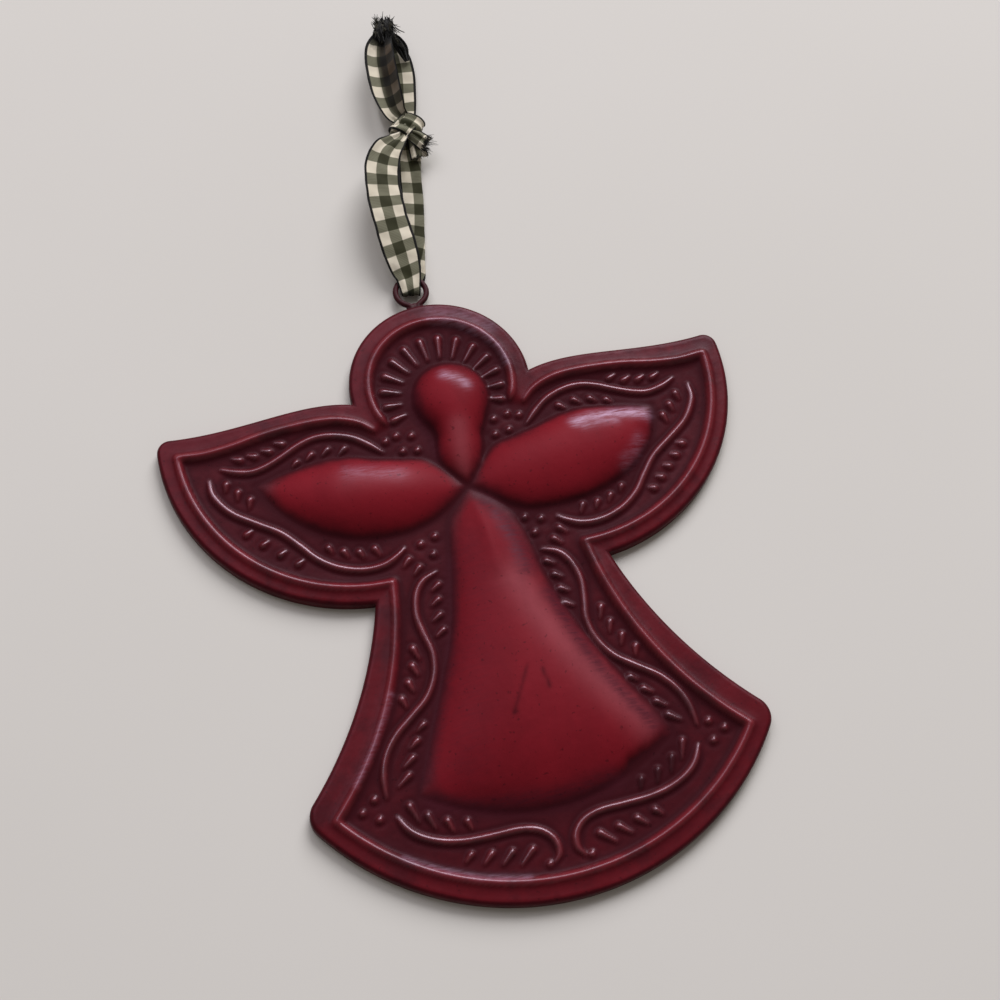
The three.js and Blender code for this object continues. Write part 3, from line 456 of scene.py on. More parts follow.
def wander(seed, scale):
    """Slow waves between about -1 and 1, for what a hand-worked sheet has."""
    rng = np.random.default_rng(seed)
    total = np.zeros(X.shape)
    for _ in range(10):
        fx, fy = rng.normal(0, 1 / scale, 2)
        total += np.sin(X * fx + Y * fy + rng.uniform(0, 6.28))
    return total / 4.5


def blurred(values, width):
    reach = int(3 * width / STEP) + 1
    kernel = np.exp(-((np.arange(-reach, reach + 1) * STEP / width) ** 2) / 2)
    kernel /= kernel.sum()
    padded = np.pad(values, reach, mode="edge")
    rows = sum(k * padded[i:i + values.shape[0]] for i, k in enumerate(kernel))
    return sum(k * rows[:, i:i + values.shape[1]] for i, k in enumerate(kernel))


# Worn places and painted light: thin dark scratches with their width and depth; bands of painted sheen over
# brushed scratches, of painted highlight, and of dulled paint with painted shade, with their reach and
# strength
SCRATCHES = [
    ([(1.2, -49.4), (-1.4, -54.2), (-4.9, -60.2)], 0.21, 0.06),
    ([(4.4, -50.9), (4.9, -56)], 0.2, 0.04),
    ([(-4.9, -59.8), (-3.7, -59.8)], 0.25, 0.06),
]
# Painted sheen: lavender bands over brushed scratches, standing for reflections on the wings, head, ridges
# and halo flange
SHEENS = [
    ([(29.7, 9.6), (34, 10.3), (39.2, 10.3), (44.2, 9.7), (47.6, 9)], 1.5, 1.5),
    ([(31.5, 8.2), (35.6, 8.7), (39.3, 8.4)], 1.4, 0.75),
    ([(44.2, 2.3), (42.1, -0.6), (39, -3.2)], 1.6, 0.3),
    ([(-16, 5.6), (-22, 7.2), (-28, 8.4)], 2.0, 0.35),
    ([(1, 29.5), (3.3, 27.9), (5.6, 25.6)], 1.4, 0.95),
    ([(4.2, -9.5), (6.2, -16.7), (6.7, -22.9)], 1.6, 0.07),
    ([(1.2, 46.8), (7.6, 44.5), (13.4, 40.2), (16.7, 35.6), (17.9, 30.3)], 0.8, 0.55),
    ([(-36.2, -85.1), (-29.1, -89.4), (-21, -93.2), (-10.2, -95.9)], 0.8, 0.5),
    ([(-30.4, -47.5), (-33.6, -53.3), (-38.3, -60.6), (-42.9, -66.6)], 0.7, 0.4),
    ([(2.3, 49.1), (10.1, 46.8), (16.2, 41.8)], 1.9, 0.3),
]
# Painted highlights: paler red on the skirt's right flank, the neck and the left wing, where the light falls
PAINTED_HIGHLIGHTS = [
    ([(4.6, -27), (7.8, -36), (13, -48), (19, -59), (25, -68)], 4.4, 0.38),
    ([(1.2, 15), (0.4, 9), (-0.6, 3.5)], 2.4, 0.3),
    ([(-14, 5.2), (-22, 5.6), (-29, 6)], 3, 0.15),
]
# Dulled paint and painted shade: dulled, brushed paint with painted shade on the skirt's upper right flank,
# and painted shade left of the head and neck, down the skirt's left side and along its hem
DULLED_AND_SHADED = [
    ([(3, -5.2), (5.8, -10.5), (7.2, -17.5), (7.8, -24.5)], 2.8, 1.0),
    ([(11.4, -31.5), (14.3, -42.5), (18.1, -53), (22.8, -62.1), (26.9, -68.5)], 2.0, 1.0),
    ([(-7.2, 20.5), (-6.4, 15), (-5.2, 9)], 1.8, 0.7),
    ([(-7.0, 27.5), (-7.4, 22.5), (-6.2, 17.5)], 1.7, 0.6),
    ([(-9.0, -18), (-11.4, -31), (-15.6, -44), (-21, -56), (-26.4, -68)], 2.3, 0.65),
    ([(-4.5, -16), (-7.5, -34), (-13, -52), (-18, -68)], 6.5, 0.36),
    ([(-27, -74.5), (-15, -78.4), (0, -80), (14, -78.6)], 2.5, 0.8),
]


def spot(centre, reach, turn, ragged):
    """A soft round patch with a ragged edge, from 0 to 1."""
    turn = math.radians(turn)
    x, y = X - centre[0], Y - centre[1]
    u = (x * math.cos(turn) + y * math.sin(turn)) / reach[0]
    v = (y * math.cos(turn) - x * math.sin(turn)) / reach[1]
    return 1 - smoothstep(0.7, 1.15, np.hypot(u, v) + ragged * (0.6 * wander(21, 3) + 0.4 * wander(22, 1.2)))


def bands_along(lines):
    """Soft bands along lines, each with its reach and strength."""
    total = np.zeros(X.shape)
    for line, width, strength in lines:
        near, _ = line_distance(line, 3 * width)
        total = np.maximum(total, strength * np.exp(-(near / width) ** 2))
    return total


def embossed_heights():
    """Height of the sheet on the raster, and what the paint needs to know at each place."""
    field = field_outline()
    to_field, _ = line_distance(np.vstack([field, field[:1]]), 8)
    within = np.where(inside(field), to_field, -to_field)
    heights = RIM_HEIGHT + (FIELD_HEIGHT - RIM_HEIGHT) * smoothstep(-1.0, 1.4, within)
    raised = np.zeros(X.shape)
    troughs = np.zeros(X.shape)
    swell = np.zeros(X.shape)

    def press(shape):
        nonlocal raised, troughs
        raised = np.maximum(raised, shape[0])
        troughs = np.maximum(troughs, shape[1])

    half = ridge_half()
    for line in (np.vstack([half, half[:-1][::-1] * (-1, 1)]), ridge_halo()):
        press(stroke(line, RIDGE_HALF_WIDTH, RIDGE_HEIGHT, RIDGE_TAPER))
        swell = np.maximum(swell, stroke(line, SWELL_HALF_WIDTH, SWELL_HEIGHT, RIDGE_TAPER)[0])
    ridge = raised.copy()
    for side in (1, -1):
        for vine in VINES:
            press(stroke(smooth_line(vine, 90) * (side, 1), VINE_HALF_WIDTH, VINE_HEIGHT, VINE_TAPER))
        for through, right, left, turn, first, last in MARK_ROWS:
            count, way = (right, turn) if side > 0 else (left, 180 - turn)
            for i, centre in enumerate(smooth_line(through, count - 1)):
                length = first + (last - first) * i / (count - 1) + MARK_FOOT
                press(mark(centre * (side, 1), way, length, MARK_HALF_WIDTH, MARK_HEIGHT))
        for bead in BEADS:
            press(mark(np.array(bead) * (side, 1), BEAD_TURN, BEAD_LENGTH, BEAD_HALF_WIDTH, MARK_HEIGHT))
    for centre, turn, length in ray_marks():
        press(mark(centre, turn, length + RAY_FOOT, RAY_HALF_WIDTH, RAY_HEIGHT))

    puffs = np.zeros(X.shape)
    depth = np.full(X.shape, -6.0)
    shapes = [(head_outline(), HEAD_SWELL), (skirt_outline(), SKIRT_SWELL)]
    shapes += [(wing_outline(side), WING_SWELL[side]) for side in (1, -1)]
    for outline, puff_swell in shapes:
        bump, within_puff = pillow(outline, *puff_swell)
        puffs = np.maximum(puffs, bump)
        depth = np.maximum(depth, within_puff)
    near, along = line_distance(SPINE, 14)
    fade = np.sin(math.pi * np.clip(0.12 + 0.88 * along, 0, 1)) ** 0.7
    spine = SPINE_HEIGHT * np.exp(-near / SPINE_WIDTH) * fade
    puffs += spine * smoothstep(0, 1.3, puffs)
    flattened = spot(*FLATTENED)
    puffs = blurred(puffs * (1 - 0.85 * flattened), 0.6)

    on_puff = smoothstep(0.2, 1.4, puffs)
    crease = np.exp(-((depth + 0.2) / 0.6) ** 2)
    sunk = (0.14 * troughs + 0.12 * crease) * (1 - on_puff)
    heights += np.maximum(np.maximum(raised, swell), puffs) - sunk
    heights += 0.06 * wander(3, 9) + 0.02 * wander(5, 3)
    proud = smoothstep(0.12, 0.75, raised)
    glint = proud * (1 - 0.62 * smoothstep(0.12, 0.75, ridge))
    reach = (1.5 + 0.9 * wander(11, 10) + 0.5 * wander(12, 4)).clip(0.5, 4)
    haze = np.exp(-np.clip(depth, 0, 6) / reach)
    hollow = np.clip((blurred(heights, 1.2) - heights) / 0.5, 0, 1)
    near_puff = np.exp(-np.clip(-depth, 0, 12) / 3.4)
    ground = 0.18 + 0.12 * wander(7, 12) + 0.5 * smoothstep(-0.6, 1.8, within) + 0.35 * near_puff
    dark = np.where(depth > 0, haze, ground * (1 - 0.6 * proud) + 0.35 * hollow + 0.2 * troughs)
    dark = np.maximum(dark, 1.15 * flattened)
    for line, width, cut in SCRATCHES:
        near, _ = line_distance(line, 2)
        scratch = np.exp(-(near / width) ** 2)
        heights -= cut * scratch
        dark = np.maximum(dark, 1.2 * scratch)
    dark = np.clip(blurred(dark, 0.35), 0, 1)
    values = {
        "dark": dark, "proud": proud, "glint": glint, "puffed": on_puff, "wear_and_sheen": bands_along(SHEENS),
        "dull_and_shade": bands_along(DULLED_AND_SHADED), "painted_highlight": bands_along(PAINTED_HIGHLIGHTS) * on_puff,
    }
    return blurred(heights, 0.3), values


def sample(values, points):
    """Values of the raster at points in millimetres."""
    u = np.clip((points[:, 0] - GRID_X[0]) / STEP, 0, len(GRID_X) - 1.001)
    v = np.clip((points[:, 1] - GRID_Y[0]) / STEP, 0, len(GRID_Y) - 1.001)
    i, j = u.astype(int), v.astype(int)
    fu, fv = u - i, v - j
    return ((values[j, i] * (1 - fu) + values[j, i + 1] * fu) * (1 - fv)
            + (values[j + 1, i] * (1 - fu) + values[j + 1, i + 1] * fu) * fv)


# Mesh helpers

def finished(name, bm, material, body):
    """Turns a bmesh in millimetres into a smooth piece in metres that rides on a body."""
    mesh = bpy.data.meshes.new(name)
    bmesh.ops.scale(bm, vec=(MM, MM, MM), verts=bm.verts)
    bm.to_mesh(mesh)
    bm.free()
    mesh.shade_smooth()
    mesh.materials.append(material)
    piece = in_scene(name, mesh)
    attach(piece, body)
    return piece


def add_value(mesh, name, values):
    attribute = mesh.attributes.new(name, "FLOAT", "POINT")
    attribute.data.foreach_set("value", np.asarray(values, np.float32))


def coordinates(mesh):
    co = np.zeros(len(mesh.vertices) * 3, np.float32)
    mesh.vertices.foreach_get("co", co)
    return co.reshape(-1, 3)


# Front sheet

def ring_vertices(bm, points, z):
    verts = [bm.verts.new((x, y, z)) for x, y in points]
    return verts, [bm.edges.new((a, b)) for a, b in zip(verts, verts[1:] + verts[:1])]


def grow_ring(bm, verts, edges, points, z):
    """Extrudes a closed ring of edges to new points at a new height."""
    place = {vert: index for index, vert in enumerate(verts)}
    made = bmesh.ops.extrude_edge_only(bm, edges=edges)["geom"]
    fresh = [None] * len(verts)
    for vert in (g for g in made if isinstance(g, bmesh.types.BMVert)):
        for edge in vert.link_edges:
            other = edge.other_vert(vert)
            if other in place:
                fresh[place[other]] = vert
    for vert, (x, y) in zip(fresh, points):
        vert.co = (x, y, z)
    return fresh, [bm.edges.get((a, b)) for a, b in zip(fresh, fresh[1:] + fresh[:1])]


# The embossed raster is joined to a ring this far in, from which the rim rolls over to the side and the hem
TOP_INSET = 1.0
RASTER_GAP = 0.34
SIDE_AND_HEM = [(0.03, 1.3), (-0.03, 0.62), (0.0, 0.2), (0.16, 0.0), (HEM_WIDTH, 0.0), (HEM_WIDTH, 0.95)]
# How much of the dark mix the rim's side wall and hem take: painted shade on the side wall
SIDE_PAINTED_SHADE = 0.65


def front_sheet(material):
    outline = ornament_outline()
    heights, values = embossed_heights()
    keep = inside(inset(outline, TOP_INSET + RASTER_GAP))
    bm = bmesh.new()
    bmesh.ops.create_grid(bm, x_segments=len(GRID_X) - 1, y_segments=len(GRID_Y) - 1, size=0.5)
    bmesh.ops.scale(bm, vec=(GRID_X[-1] - GRID_X[0], GRID_Y[-1] - GRID_Y[0], 1), verts=bm.verts)
    middle = ((GRID_X[0] + GRID_X[-1]) / 2, (GRID_Y[0] + GRID_Y[-1]) / 2, RIM_HEIGHT)
    bmesh.ops.translate(bm, vec=middle, verts=bm.verts)
    outside = []
    for vert in bm.verts:
        i = round((vert.co.x - GRID_X[0]) / STEP)
        j = round((vert.co.y - GRID_Y[0]) / STEP)
        if not keep[j, i]:
            outside.append(vert)
    bmesh.ops.delete(bm, geom=outside, context="VERTS")
    bmesh.ops.delete(bm, geom=[v for v in bm.verts if not v.link_faces], context="VERTS")
    stairs = [e for e in bm.edges if e.is_boundary]
    verts, edges = ring_vertices(bm, inset(outline, TOP_INSET), RIM_HEIGHT)
    bmesh.ops.triangle_fill(bm, use_beauty=True, use_dissolve=False, edges=stairs + edges, normal=(0, 0, 1))
    rings = []
    for share in (0.72, 0.5, 0.3, 0.12, 0):
        angle = math.pi / 2 * share
        rings.append((RIM_ROLL * (1 - math.cos(angle)), RIM_HEIGHT - RIM_ROLL * (1 - math.sin(angle))))
    for distance, z in rings + SIDE_AND_HEM:
        verts, edges = grow_ring(bm, verts, edges, inset(outline, distance), z)
    bmesh.ops.triangle_fill(bm, use_beauty=True, use_dissolve=False, edges=edges, normal=(0, 0, -1))
    bmesh.ops.recalc_face_normals(bm, faces=bm.faces)
    piece = finished("embossed_front", bm, material, "tin")
    mesh = piece.data
    co = coordinates(mesh)
    mm = co[:, :2].astype(float) / MM
    top = np.abs(co[:, 2] - RIM_HEIGHT * MM) < 1e-8
    co[top, 2] = sample(heights, mm[top]) * MM
    mesh.vertices.foreach_set("co", co.ravel())
    for name, raster in values.items():
        # Below the embossed top the dark value is painted shade on the side wall
        add_value(mesh, name, np.where(top, sample(raster, mm), SIDE_PAINTED_SHADE if name == "dark" else 0))
    mesh.update()
    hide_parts("front_shell")


# Strips and tubes

def lattice(bm, places):
    """Adds a net of faces through places. It gives the vertices with their rows and columns."""
    rows, columns = places.shape[:2]
    made = bmesh.ops.create_grid(bm, x_segments=columns - 1, y_segments=rows - 1, size=0.5)["verts"]
    where = [(round((v.co.y + 0.5) * (rows - 1)), round((v.co.x + 0.5) * (columns - 1))) for v in made]
    for vert, at in zip(made, where):
        vert.co = places[at]
    return made, where


def sideways(centre, across):
    """Unit directions across a line and away from it."""
    along = np.gradient(centre, axis=0)
    along /= np.linalg.norm(along, axis=1)[:, None]
    across = across - along * (across * along).sum(1)[:, None]
    across /= np.linalg.norm(across, axis=1)[:, None]
    return across, np.cross(across, along)


def lay_cloth(bm, stations, steps, start, seed, skew):
    """Adds a strip of cloth. A station has its centre, the way across, the width, the lift of its edges and
    the depth of its pleats, then how much of its right side is folded under, how black it is and how much
    painted shade darkens its right side, which may be left out. The weave is skewed by a share of its width."""
    columns = 26
    rows = smooth_line([(*station, 0, 0, 0)[:12] for station in stations], steps)
    centre = rows[:, :3]
    across, normal = sideways(centre, rows[:, 3:6])
    width, lift, pleat, under = (rows[:, k, None] for k in (6, 7, 8, 9))
    share = np.linspace(-1, 1, columns + 1)[None, :]
    cloth = share * RIBBON_WIDTH / 2
    over = np.maximum(0, cloth - (RIBBON_WIDTH / 2 - under))
    bend = np.minimum(over / HEM_BEND, math.pi)
    aside = np.minimum(cloth, RIBBON_WIDTH / 2 - under) - np.maximum(0, over - math.pi * HEM_BEND)
    aside = aside * width / RIBBON_WIDTH + HEM_BEND * np.sin(bend)
    reach = np.concatenate([[0], np.cumsum(np.linalg.norm(np.diff(centre, axis=0), axis=1))])[:, None]
    offset = lift * share ** 2 + pleat * np.cos(share * 7.5 + 0.25 * reach + seed)
    offset += (0.12 * np.sin(0.55 * reach + 1.7 * share + seed)
               + 0.07 * np.sin(1.3 * reach - 3 * share + 2 * seed))
    offset -= HEM_BEND * (1 - np.cos(bend))
    places = centre[:, None] + across[:, None] * aside[..., None]
    places = places + normal[:, None] * (offset - RIBBON_THICK / 2)[..., None]
    layers = [bm.verts.layers.float.get(name) or bm.verts.layers.float.new(name)
              for name in ("across", "along", "black", "painted_shade")]
    # Painted shade on the right side of the strip
    painted_shade = rows[:, 11, None] * smoothstep(-0.5, 0, share)
    before = set(bm.faces)
    made, where = lattice(bm, places)
    for vert, (row, column) in zip(made, where):
        at = cloth[0, column]
        values = (at, start + reach[row, 0] + skew * at, rows[row, 10], painted_shade[row, column])
        for layer, value in zip(layers, values):
            vert[layer] = value
    fresh = [face for face in bm.faces if face not in before]
    bmesh.ops.solidify(bm, geom=fresh, thickness=RIBBON_THICK)


def lay_tube(bm, route, radii, sides):
    """Adds a closed round tube along a route."""
    route = np.array(route, float)
    across, normal = sideways(route, np.tile([0.13, 0.21, 1.0], (len(route), 1)))
    turn = np.linspace(0, 2 * math.pi, sides + 1)[None, :, None]
    ring = across[:, None] * np.cos(turn) + normal[:, None] * np.sin(turn)
    before = set(bm.verts)
    lattice(bm, route[:, None] + ring * np.broadcast_to(radii, len(route))[:, None, None])
    fresh = [vert for vert in bm.verts if vert not in before]
    bmesh.ops.remove_doubles(bm, verts=fresh, dist=1e-5)
    bmesh.ops.holes_fill(bm, edges=[e for e in bm.edges if e.is_boundary], sides=0)


# Eye

EYE_LEG = [(0.95, -4.25, 0), (0.9, -5.2, 0), (0.95, -5.9, 0), (1.7, -6.7, 0), (3.6, -7.1, 0)]
EYE_NECK_SIZE = (2.3, 1.25, 0.62)
EYE_NECK_Y = -4.6


def eye(material):
    bm = bmesh.new()
    angles = np.radians(np.linspace(-72, 252, 60))[2:-2]
    ring = [(EYE_RADIUS * math.cos(a), EYE_RADIUS * math.sin(a), 0) for a in angles]
    route = EYE_LEG[::-1] + ring + [(-x, y, z) for x, y, z in EYE_LEG]
    lay_tube(bm, smooth_line(route, 150), WIRE_RADIUS, 16)
    neck = bmesh.ops.create_uvsphere(bm, u_segments=20, v_segments=12, radius=1)["verts"]
    bmesh.ops.scale(bm, vec=EYE_NECK_SIZE, verts=neck)
    bmesh.ops.translate(bm, vec=(0, EYE_NECK_Y, 0), verts=neck)
    bmesh.ops.translate(bm, vec=EYE_CENTRE, verts=bm.verts)
    bmesh.ops.recalc_face_normals(bm, faces=bm.faces)
    piece = finished("painted_eye", bm, material, "tin")
    fuse = piece.modifiers.new("fuse", "REMESH")
    fuse.mode = "VOXEL"
    fuse.voxel_size = 0.12 * MM
    soften = piece.modifiers.new("soften", "SMOOTH")
    soften.factor = 0.5
    soften.iterations = 6
    bpy.context.view_layer.update()
    fused = bpy.data.meshes.new_from_object(piece.evaluated_get(bpy.context.evaluated_depsgraph_get()))
    piece.modifiers.clear()
    piece.data = fused
    fused.shade_smooth()
    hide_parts("hanging_eye")


# Ribbon, drawn about the eye's centre with +Y along the ribbon

KNOT = np.array([1.0, 49.5, 1.65])

# The knot's two windings: turn, radius, height, width, laps, shift and depth of the pleats
KNOT_WRAP = (-30, 4.0, 2.5, 6.8, 1.25, 0.4, 0.26)
KNOT_TURN = (52, 3.9, 2.1, 5.8, 1.1, -0.3, 0.42)

FRONT_LEG = [
    (0.8, 48.6, 2.2, 1, -0.9, 0, 2.8, -0.4, 0.25),
    (0.0, 46.5, 3.2, 1, -0.9, 0, 3.4, -0.5, 0.3, 0, 0.15),
    (-2.2, 43.4, 4.2, 1, -0.8, -0.1, 5.8, -0.6, 0.25, 0, 0.05),
    (-4.7, 39.6, 5.1, 1, -0.4, -0.3, 8.3, -0.5, 0.12),
    (-6.1, 33.2, 5.7, 1, 0, -0.4, 9.9, -0.3, 0),
    (-5.4, 24, 5.6, 1, 0.2, -0.4, 10.3, -0.15, 0),
    (-3.7, 16, 4.4, 1, 0.2, -0.33, 10.2, -0.25, 0),
    (-2.0, 9.4, 2.8, 1, 0.2, -0.15, 9.4, -0.35, 0.06),
    (-0.9, 5.4, 1.75, 1, 0.25, 0, 7.8, -0.3, 0.12),
]
FOLD = [
    (-0.45, 3.6, 1.4, 1, 0.28, 0, 6.6, -0.1, 0.14),
    (-0.2, 1.4, 1.1, 1, 0.25, 0, 5.6, 0, 0.14),
    (0, -0.3, 0.6, 1, 0.2, 0, 5.0, 0, 0.12, 0, 0.5),
    (0, -0.85, 0, 1, 0, 0, 4.7, 0, 0.12, 0, 0.6),
    (0, -0.3, -0.45, 1, 0, 0, 4.6, 0, 0.12, 0, 0.4),
    (0.1, 1.4, -0.85, 1, 0, 0, 4.6, 0, 0.12),
    (0.25, 3.6, -1.0, 1, 0, 0, 5.4, 0, 0.12),
]
BACK_LEG = [
    (0.8, 5.6, -0.95, 1, 0, 0, 6.6, 0.1, 0.1, 0.4),
    (1.8, 10, -0.8, 1, 0, 0.04, 8.4, 0.15, 0, 2.4),
    (3.3, 18, -0.75, 1, 0, 0.05, 9.7, 0.2, 0, 4.0),
    (3.8, 28, -0.7, 1, 0, 0.08, 10, 0.25, 0, 4.3),
    (3.2, 37, -0.2, 1, 0.1, 0.1, 9.2, 0.4, 0.1, 3.8),
    (2.1, 42.6, 0.1, 1, 0.1, 0.05, 6.8, 0.5, 0.3, 1.5),
    (1.5, 46.6, 0.8, 1, 0, 0, 4.6, 0.4, 0.3, 0, 0.1),
    (1.4, 48.6, 1.2, 1, 0, 0, 3.2, 0.4, 0.3, 0, 0.1),
]
# The last value of a station is painted shade on the strip's right side, standing for shade in the front
# strand's gutter
UPPER_LOOP = [
    (1.3, 50.8, 1.9, 1, -0.1, 0, 3.2, 0.4, 0.3, 0, 0.1, 0.2),
    (0.0, 52.4, 2.9, 1, 0.1, 0.1, 4.4, 0.8, 0.3, 0, 0, 0.5),
    (-1.9, 54.6, 3.8, 1, 0.1, 0.15, 6.6, 1.6, 0.1, 0, 0, 0.7),
    (-3.1, 59.4, 3.9, 1, 0.1, 0.25, 8.0, 2.6, 0, 0, 0, 0.9),
    (-3.9, 65.4, 4.0, 1, 0, 0.28, 8.4, 2.9, 0, 0, 0, 1),
    (-4.4, 71.0, 4.0, 1, 0, 0.28, 8.2, 2.9, 0.05, 0, 0.08, 1),
    (-4.4, 75.0, 4.0, 1, 0.1, 0.24, 7.0, 2.4, 0.2, 0, 0.35, 1),
    (-3.9, 78.4, 4.1, 1, 0.15, 0.1, 5.2, 1.4, 0.5, 0, 0.9, 1),
    (-3.6, 81.6, 3.7, 1, 0.1, 0, 4.0, 0.6, 0.8, 0, 1),
    (-3.2, 83.2, 2.2, 1, 0, 0, 3.4, 0, 0.7, 0, 1),
    (-2.8, 82.4, 0.5, 1, 0, 0, 4.4, -0.2, 0.5, 0, 1),
    (-2.1, 80.0, -0.5, 1, -0.1, 0, 6.4, -0.3, 0.4, 0, 0.7),
    (-1.0, 75.5, -0.8, 1, -0.1, 0, 8.8, -0.3, 0.15, 0, 0.1),
    (-0.4, 69.5, -0.9, 1, 0, 0, 10, -0.3, 0),
    (-0.3, 63.0, -0.9, 1, 0, 0, 9.8, -0.3, 0),
    (0.1, 57.5, -0.8, 1, 0, 0, 8.6, -0.3, 0.1),
    (0.9, 53.4, -0.2, 1, 0, 0, 6.0, -0.4, 0.3),
    (1.4, 50.6, 0.5, 1, 0.1, 0, 3.6, -0.3, 0.3),
]
UPPER_FLAP = [
    (-1.2, 80.6, 2.6, 1, 0.8, 0, 1.8, 0.2, 0.3, 0, 1),
    (0.2, 78.8, 2.2, 1, 0.8, 0, 3.0, 0.3, 0.35, 0, 1),
    (1.6, 76.4, 1.4, 1, 0.6, 0, 3.0, 0.3, 0.35, 0, 1),
    (2.6, 73.2, 0.5, 1, 0.3, 0, 1.2, 0.2, 0.2, 0, 1),
]
UPPER_TUFT = [
    (-3.4, 76.6, 4.4, 1, 0.4, 0, 3.0, 0.2, 0.5, 0, 0.8),
    (-3.6, 79.0, 5.2, 1, 0.3, 0.1, 4.6, 0.3, 0.7, 0, 1),
    (-3.6, 81.6, 5.2, 1, 0.2, 0.2, 4.8, 0.3, 0.8, 0, 1),
    (-3.3, 83.8, 4.5, 1, 0.1, 0.2, 3.8, 0.2, 0.7, 0, 1),
    (-3.1, 85.4, 3.8, 1, 0, 0.2, 1.8, 0.1, 0.5, 0, 1),
]
UPPER_END = [
    (1.7, 47.4, 3.2, 0.6, 1, 0.2, 3.4, 0.5, 0.35),
    (3.5, 46.1, 3.6, 0.55, 1, 0.2, 4.2, 0.6, 0.35),
    (5.1, 44.9, 3.4, 0.5, 1, 0.2, 4.6, 0.6, 0.3, 0, 0.1),
    (6.5, 43.9, 2.9, 0.4, 1, 0.2, 4.8, 0.5, 0.3, 0, 0.4),
]
LOWER_END = [
    (2.8, 47.0, 1.7, 1, 0.5, 0, 3.4, 0.5, 0.45),
    (3.6, 44.4, 1.9, 1, 0.3, 0, 4.2, 0.5, 0.45, 0, 0.1),
    (4.1, 42.4, 1.7, 1, 0.2, 0, 4.6, 0.5, 0.45, 0, 0.1),
    (4.4, 40.8, 1.4, 1, 0.1, 0, 4.8, 0.4, 0.4, 0, 0.4),
]

# Frayed threads: the middle of their roots, their way, half the spread of their roots, how many, their
# length and radius, and a seed
THREADS = [
    ((6.5, 43.9, 3.1), (0.95, 0, -0.2), (0.9, 2.0, 0.4), 80, 2.0, 0.08, 1),
    ((4.4, 41.0, 1.2), (0.15, -0.9, -0.1), (1.9, 0.3, 0), 34, 1.2, 0.075, 2),
    ((-3.5, 82.6, 4.4), (-0.05, 0.95, -0.1), (2.0, -0.3, 0), 150, 2.5, 0.15, 3),
    ((-3.4, 80.6, 5.3), (0.15, -0.95, -0.1), (2.2, 0.5, 0), 110, 3.6, 0.14, 4),
    ((0.9, 77.4, 2.4), (0.35, -0.8, 0), (1.3, -1.6, 0), 60, 1.8, 0.1, 5),
]


TURNED = Matrix.Rotation(math.radians(RIBBON_TURN), 3, "Z")


def in_ribbon_place(bm):
    """Puts what is drawn about the eye's centre where the ribbon hangs."""
    bmesh.ops.rotate(bm, cent=(0, 0, 0), matrix=TURNED, verts=bm.verts)
    bmesh.ops.translate(bm, vec=EYE_CENTRE, verts=bm.verts)


def strip_piece(name, material, *strips):
    """A piece of one or more strips, each with its stations, steps, start along the weave, seed and skew."""
    bm = bmesh.new()
    for strip in strips:
        lay_cloth(bm, *strip)
    in_ribbon_place(bm)
    bmesh.ops.recalc_face_normals(bm, faces=bm.faces)
    return finished(name, bm, material, "ribbon")


def wound_strip(turn, radius, height, width, laps, shift, pleat):
    """Stations of a strip wound round the knot."""
    stations = []
    per_lap = 12
    way = np.array([math.cos(math.radians(turn)), math.sin(math.radians(turn)), 0])
    for step in range(int(per_lap * laps) + 1):
        angle = -math.pi / 2 + 2 * math.pi * step / per_lap
        grow = 1 + 0.05 * step / per_lap
        at = KNOT + way * radius * grow * math.cos(angle) + np.array([0, 0, height * grow * math.sin(angle)])
        across = np.array([-way[1], way[0], 0.12 * math.cos(angle)])
        at += across * (shift + 0.5 * math.sin(angle * 0.7))
        stations.append((*at, *across, width, -0.35, pleat))
    return stations


def loose_threads(bm, mouth, toward, spread, count, length, radius, seed):
    """Adds frayed threads along the end of a strip."""
    rng = np.random.default_rng(seed)
    mouth, toward, spread = (np.array(v, float) for v in (mouth, toward, spread))
    for _ in range(count):
        share = rng.uniform(-1, 1)
        root = mouth + spread * share - toward * rng.uniform(0.3, 1.2) + rng.normal(0, 4 * radius - 0.2, 3)
        bend = rng.normal(0, 0.28, 3)
        reach = length * rng.uniform(0.5, 1.15)
        way = toward + spread / np.linalg.norm(spread) * share * 0.25
        route = [root + way * reach * t + bend * reach * t * t for t in (0, 0.35, 0.7, 1)]
        lay_tube(bm, smooth_line(route, 6), np.linspace(radius, 0.4 * radius, 7), 5)


def ribbon(cloth, thread):
    lower = strip_piece("gingham_lower_loop", cloth, (FRONT_LEG + FOLD + BACK_LEG, 230, 1.8, 1, 0.15))
    lower.parent = None
    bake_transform(lower)
    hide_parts("ribbon_bight", "ribbon_front_leg", "ribbon_back_leg")
    upper = strip_piece("gingham_upper_loop", cloth, (UPPER_LOOP, 170, 0.4, 2, 0),
                        (UPPER_FLAP, 20, 0, 7, 0), (UPPER_TUFT, 34, 0, 8, 0))
    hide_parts("ribbon_hook_loop")
    wrap = strip_piece("gingham_knot_wrap", cloth, (wound_strip(*KNOT_WRAP), 70, 4.4, 3, 0))
    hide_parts("ribbon_knot")
    under = strip_piece("gingham_knot_turn", cloth, (wound_strip(*KNOT_TURN), 70, 0.3, 4, 0))
    for name, stations, node, seed in (("frayed_upper_end", UPPER_END, "ribbon_upper_tail", 5),
                                       ("frayed_lower_end", LOWER_END, "ribbon_lower_tail", 6)):
        piece = strip_piece(name, cloth, (stations, 24, 1.0 + seed, seed, 0))
        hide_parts(node)
    bm = bmesh.new()
    for bunch in THREADS:
        loose_threads(bm, *bunch)
    in_ribbon_place(bm)
    bmesh.ops.recalc_face_normals(bm, faces=bm.faces)
    finished("loose_threads", bm, thread, "ribbon")


# Materials

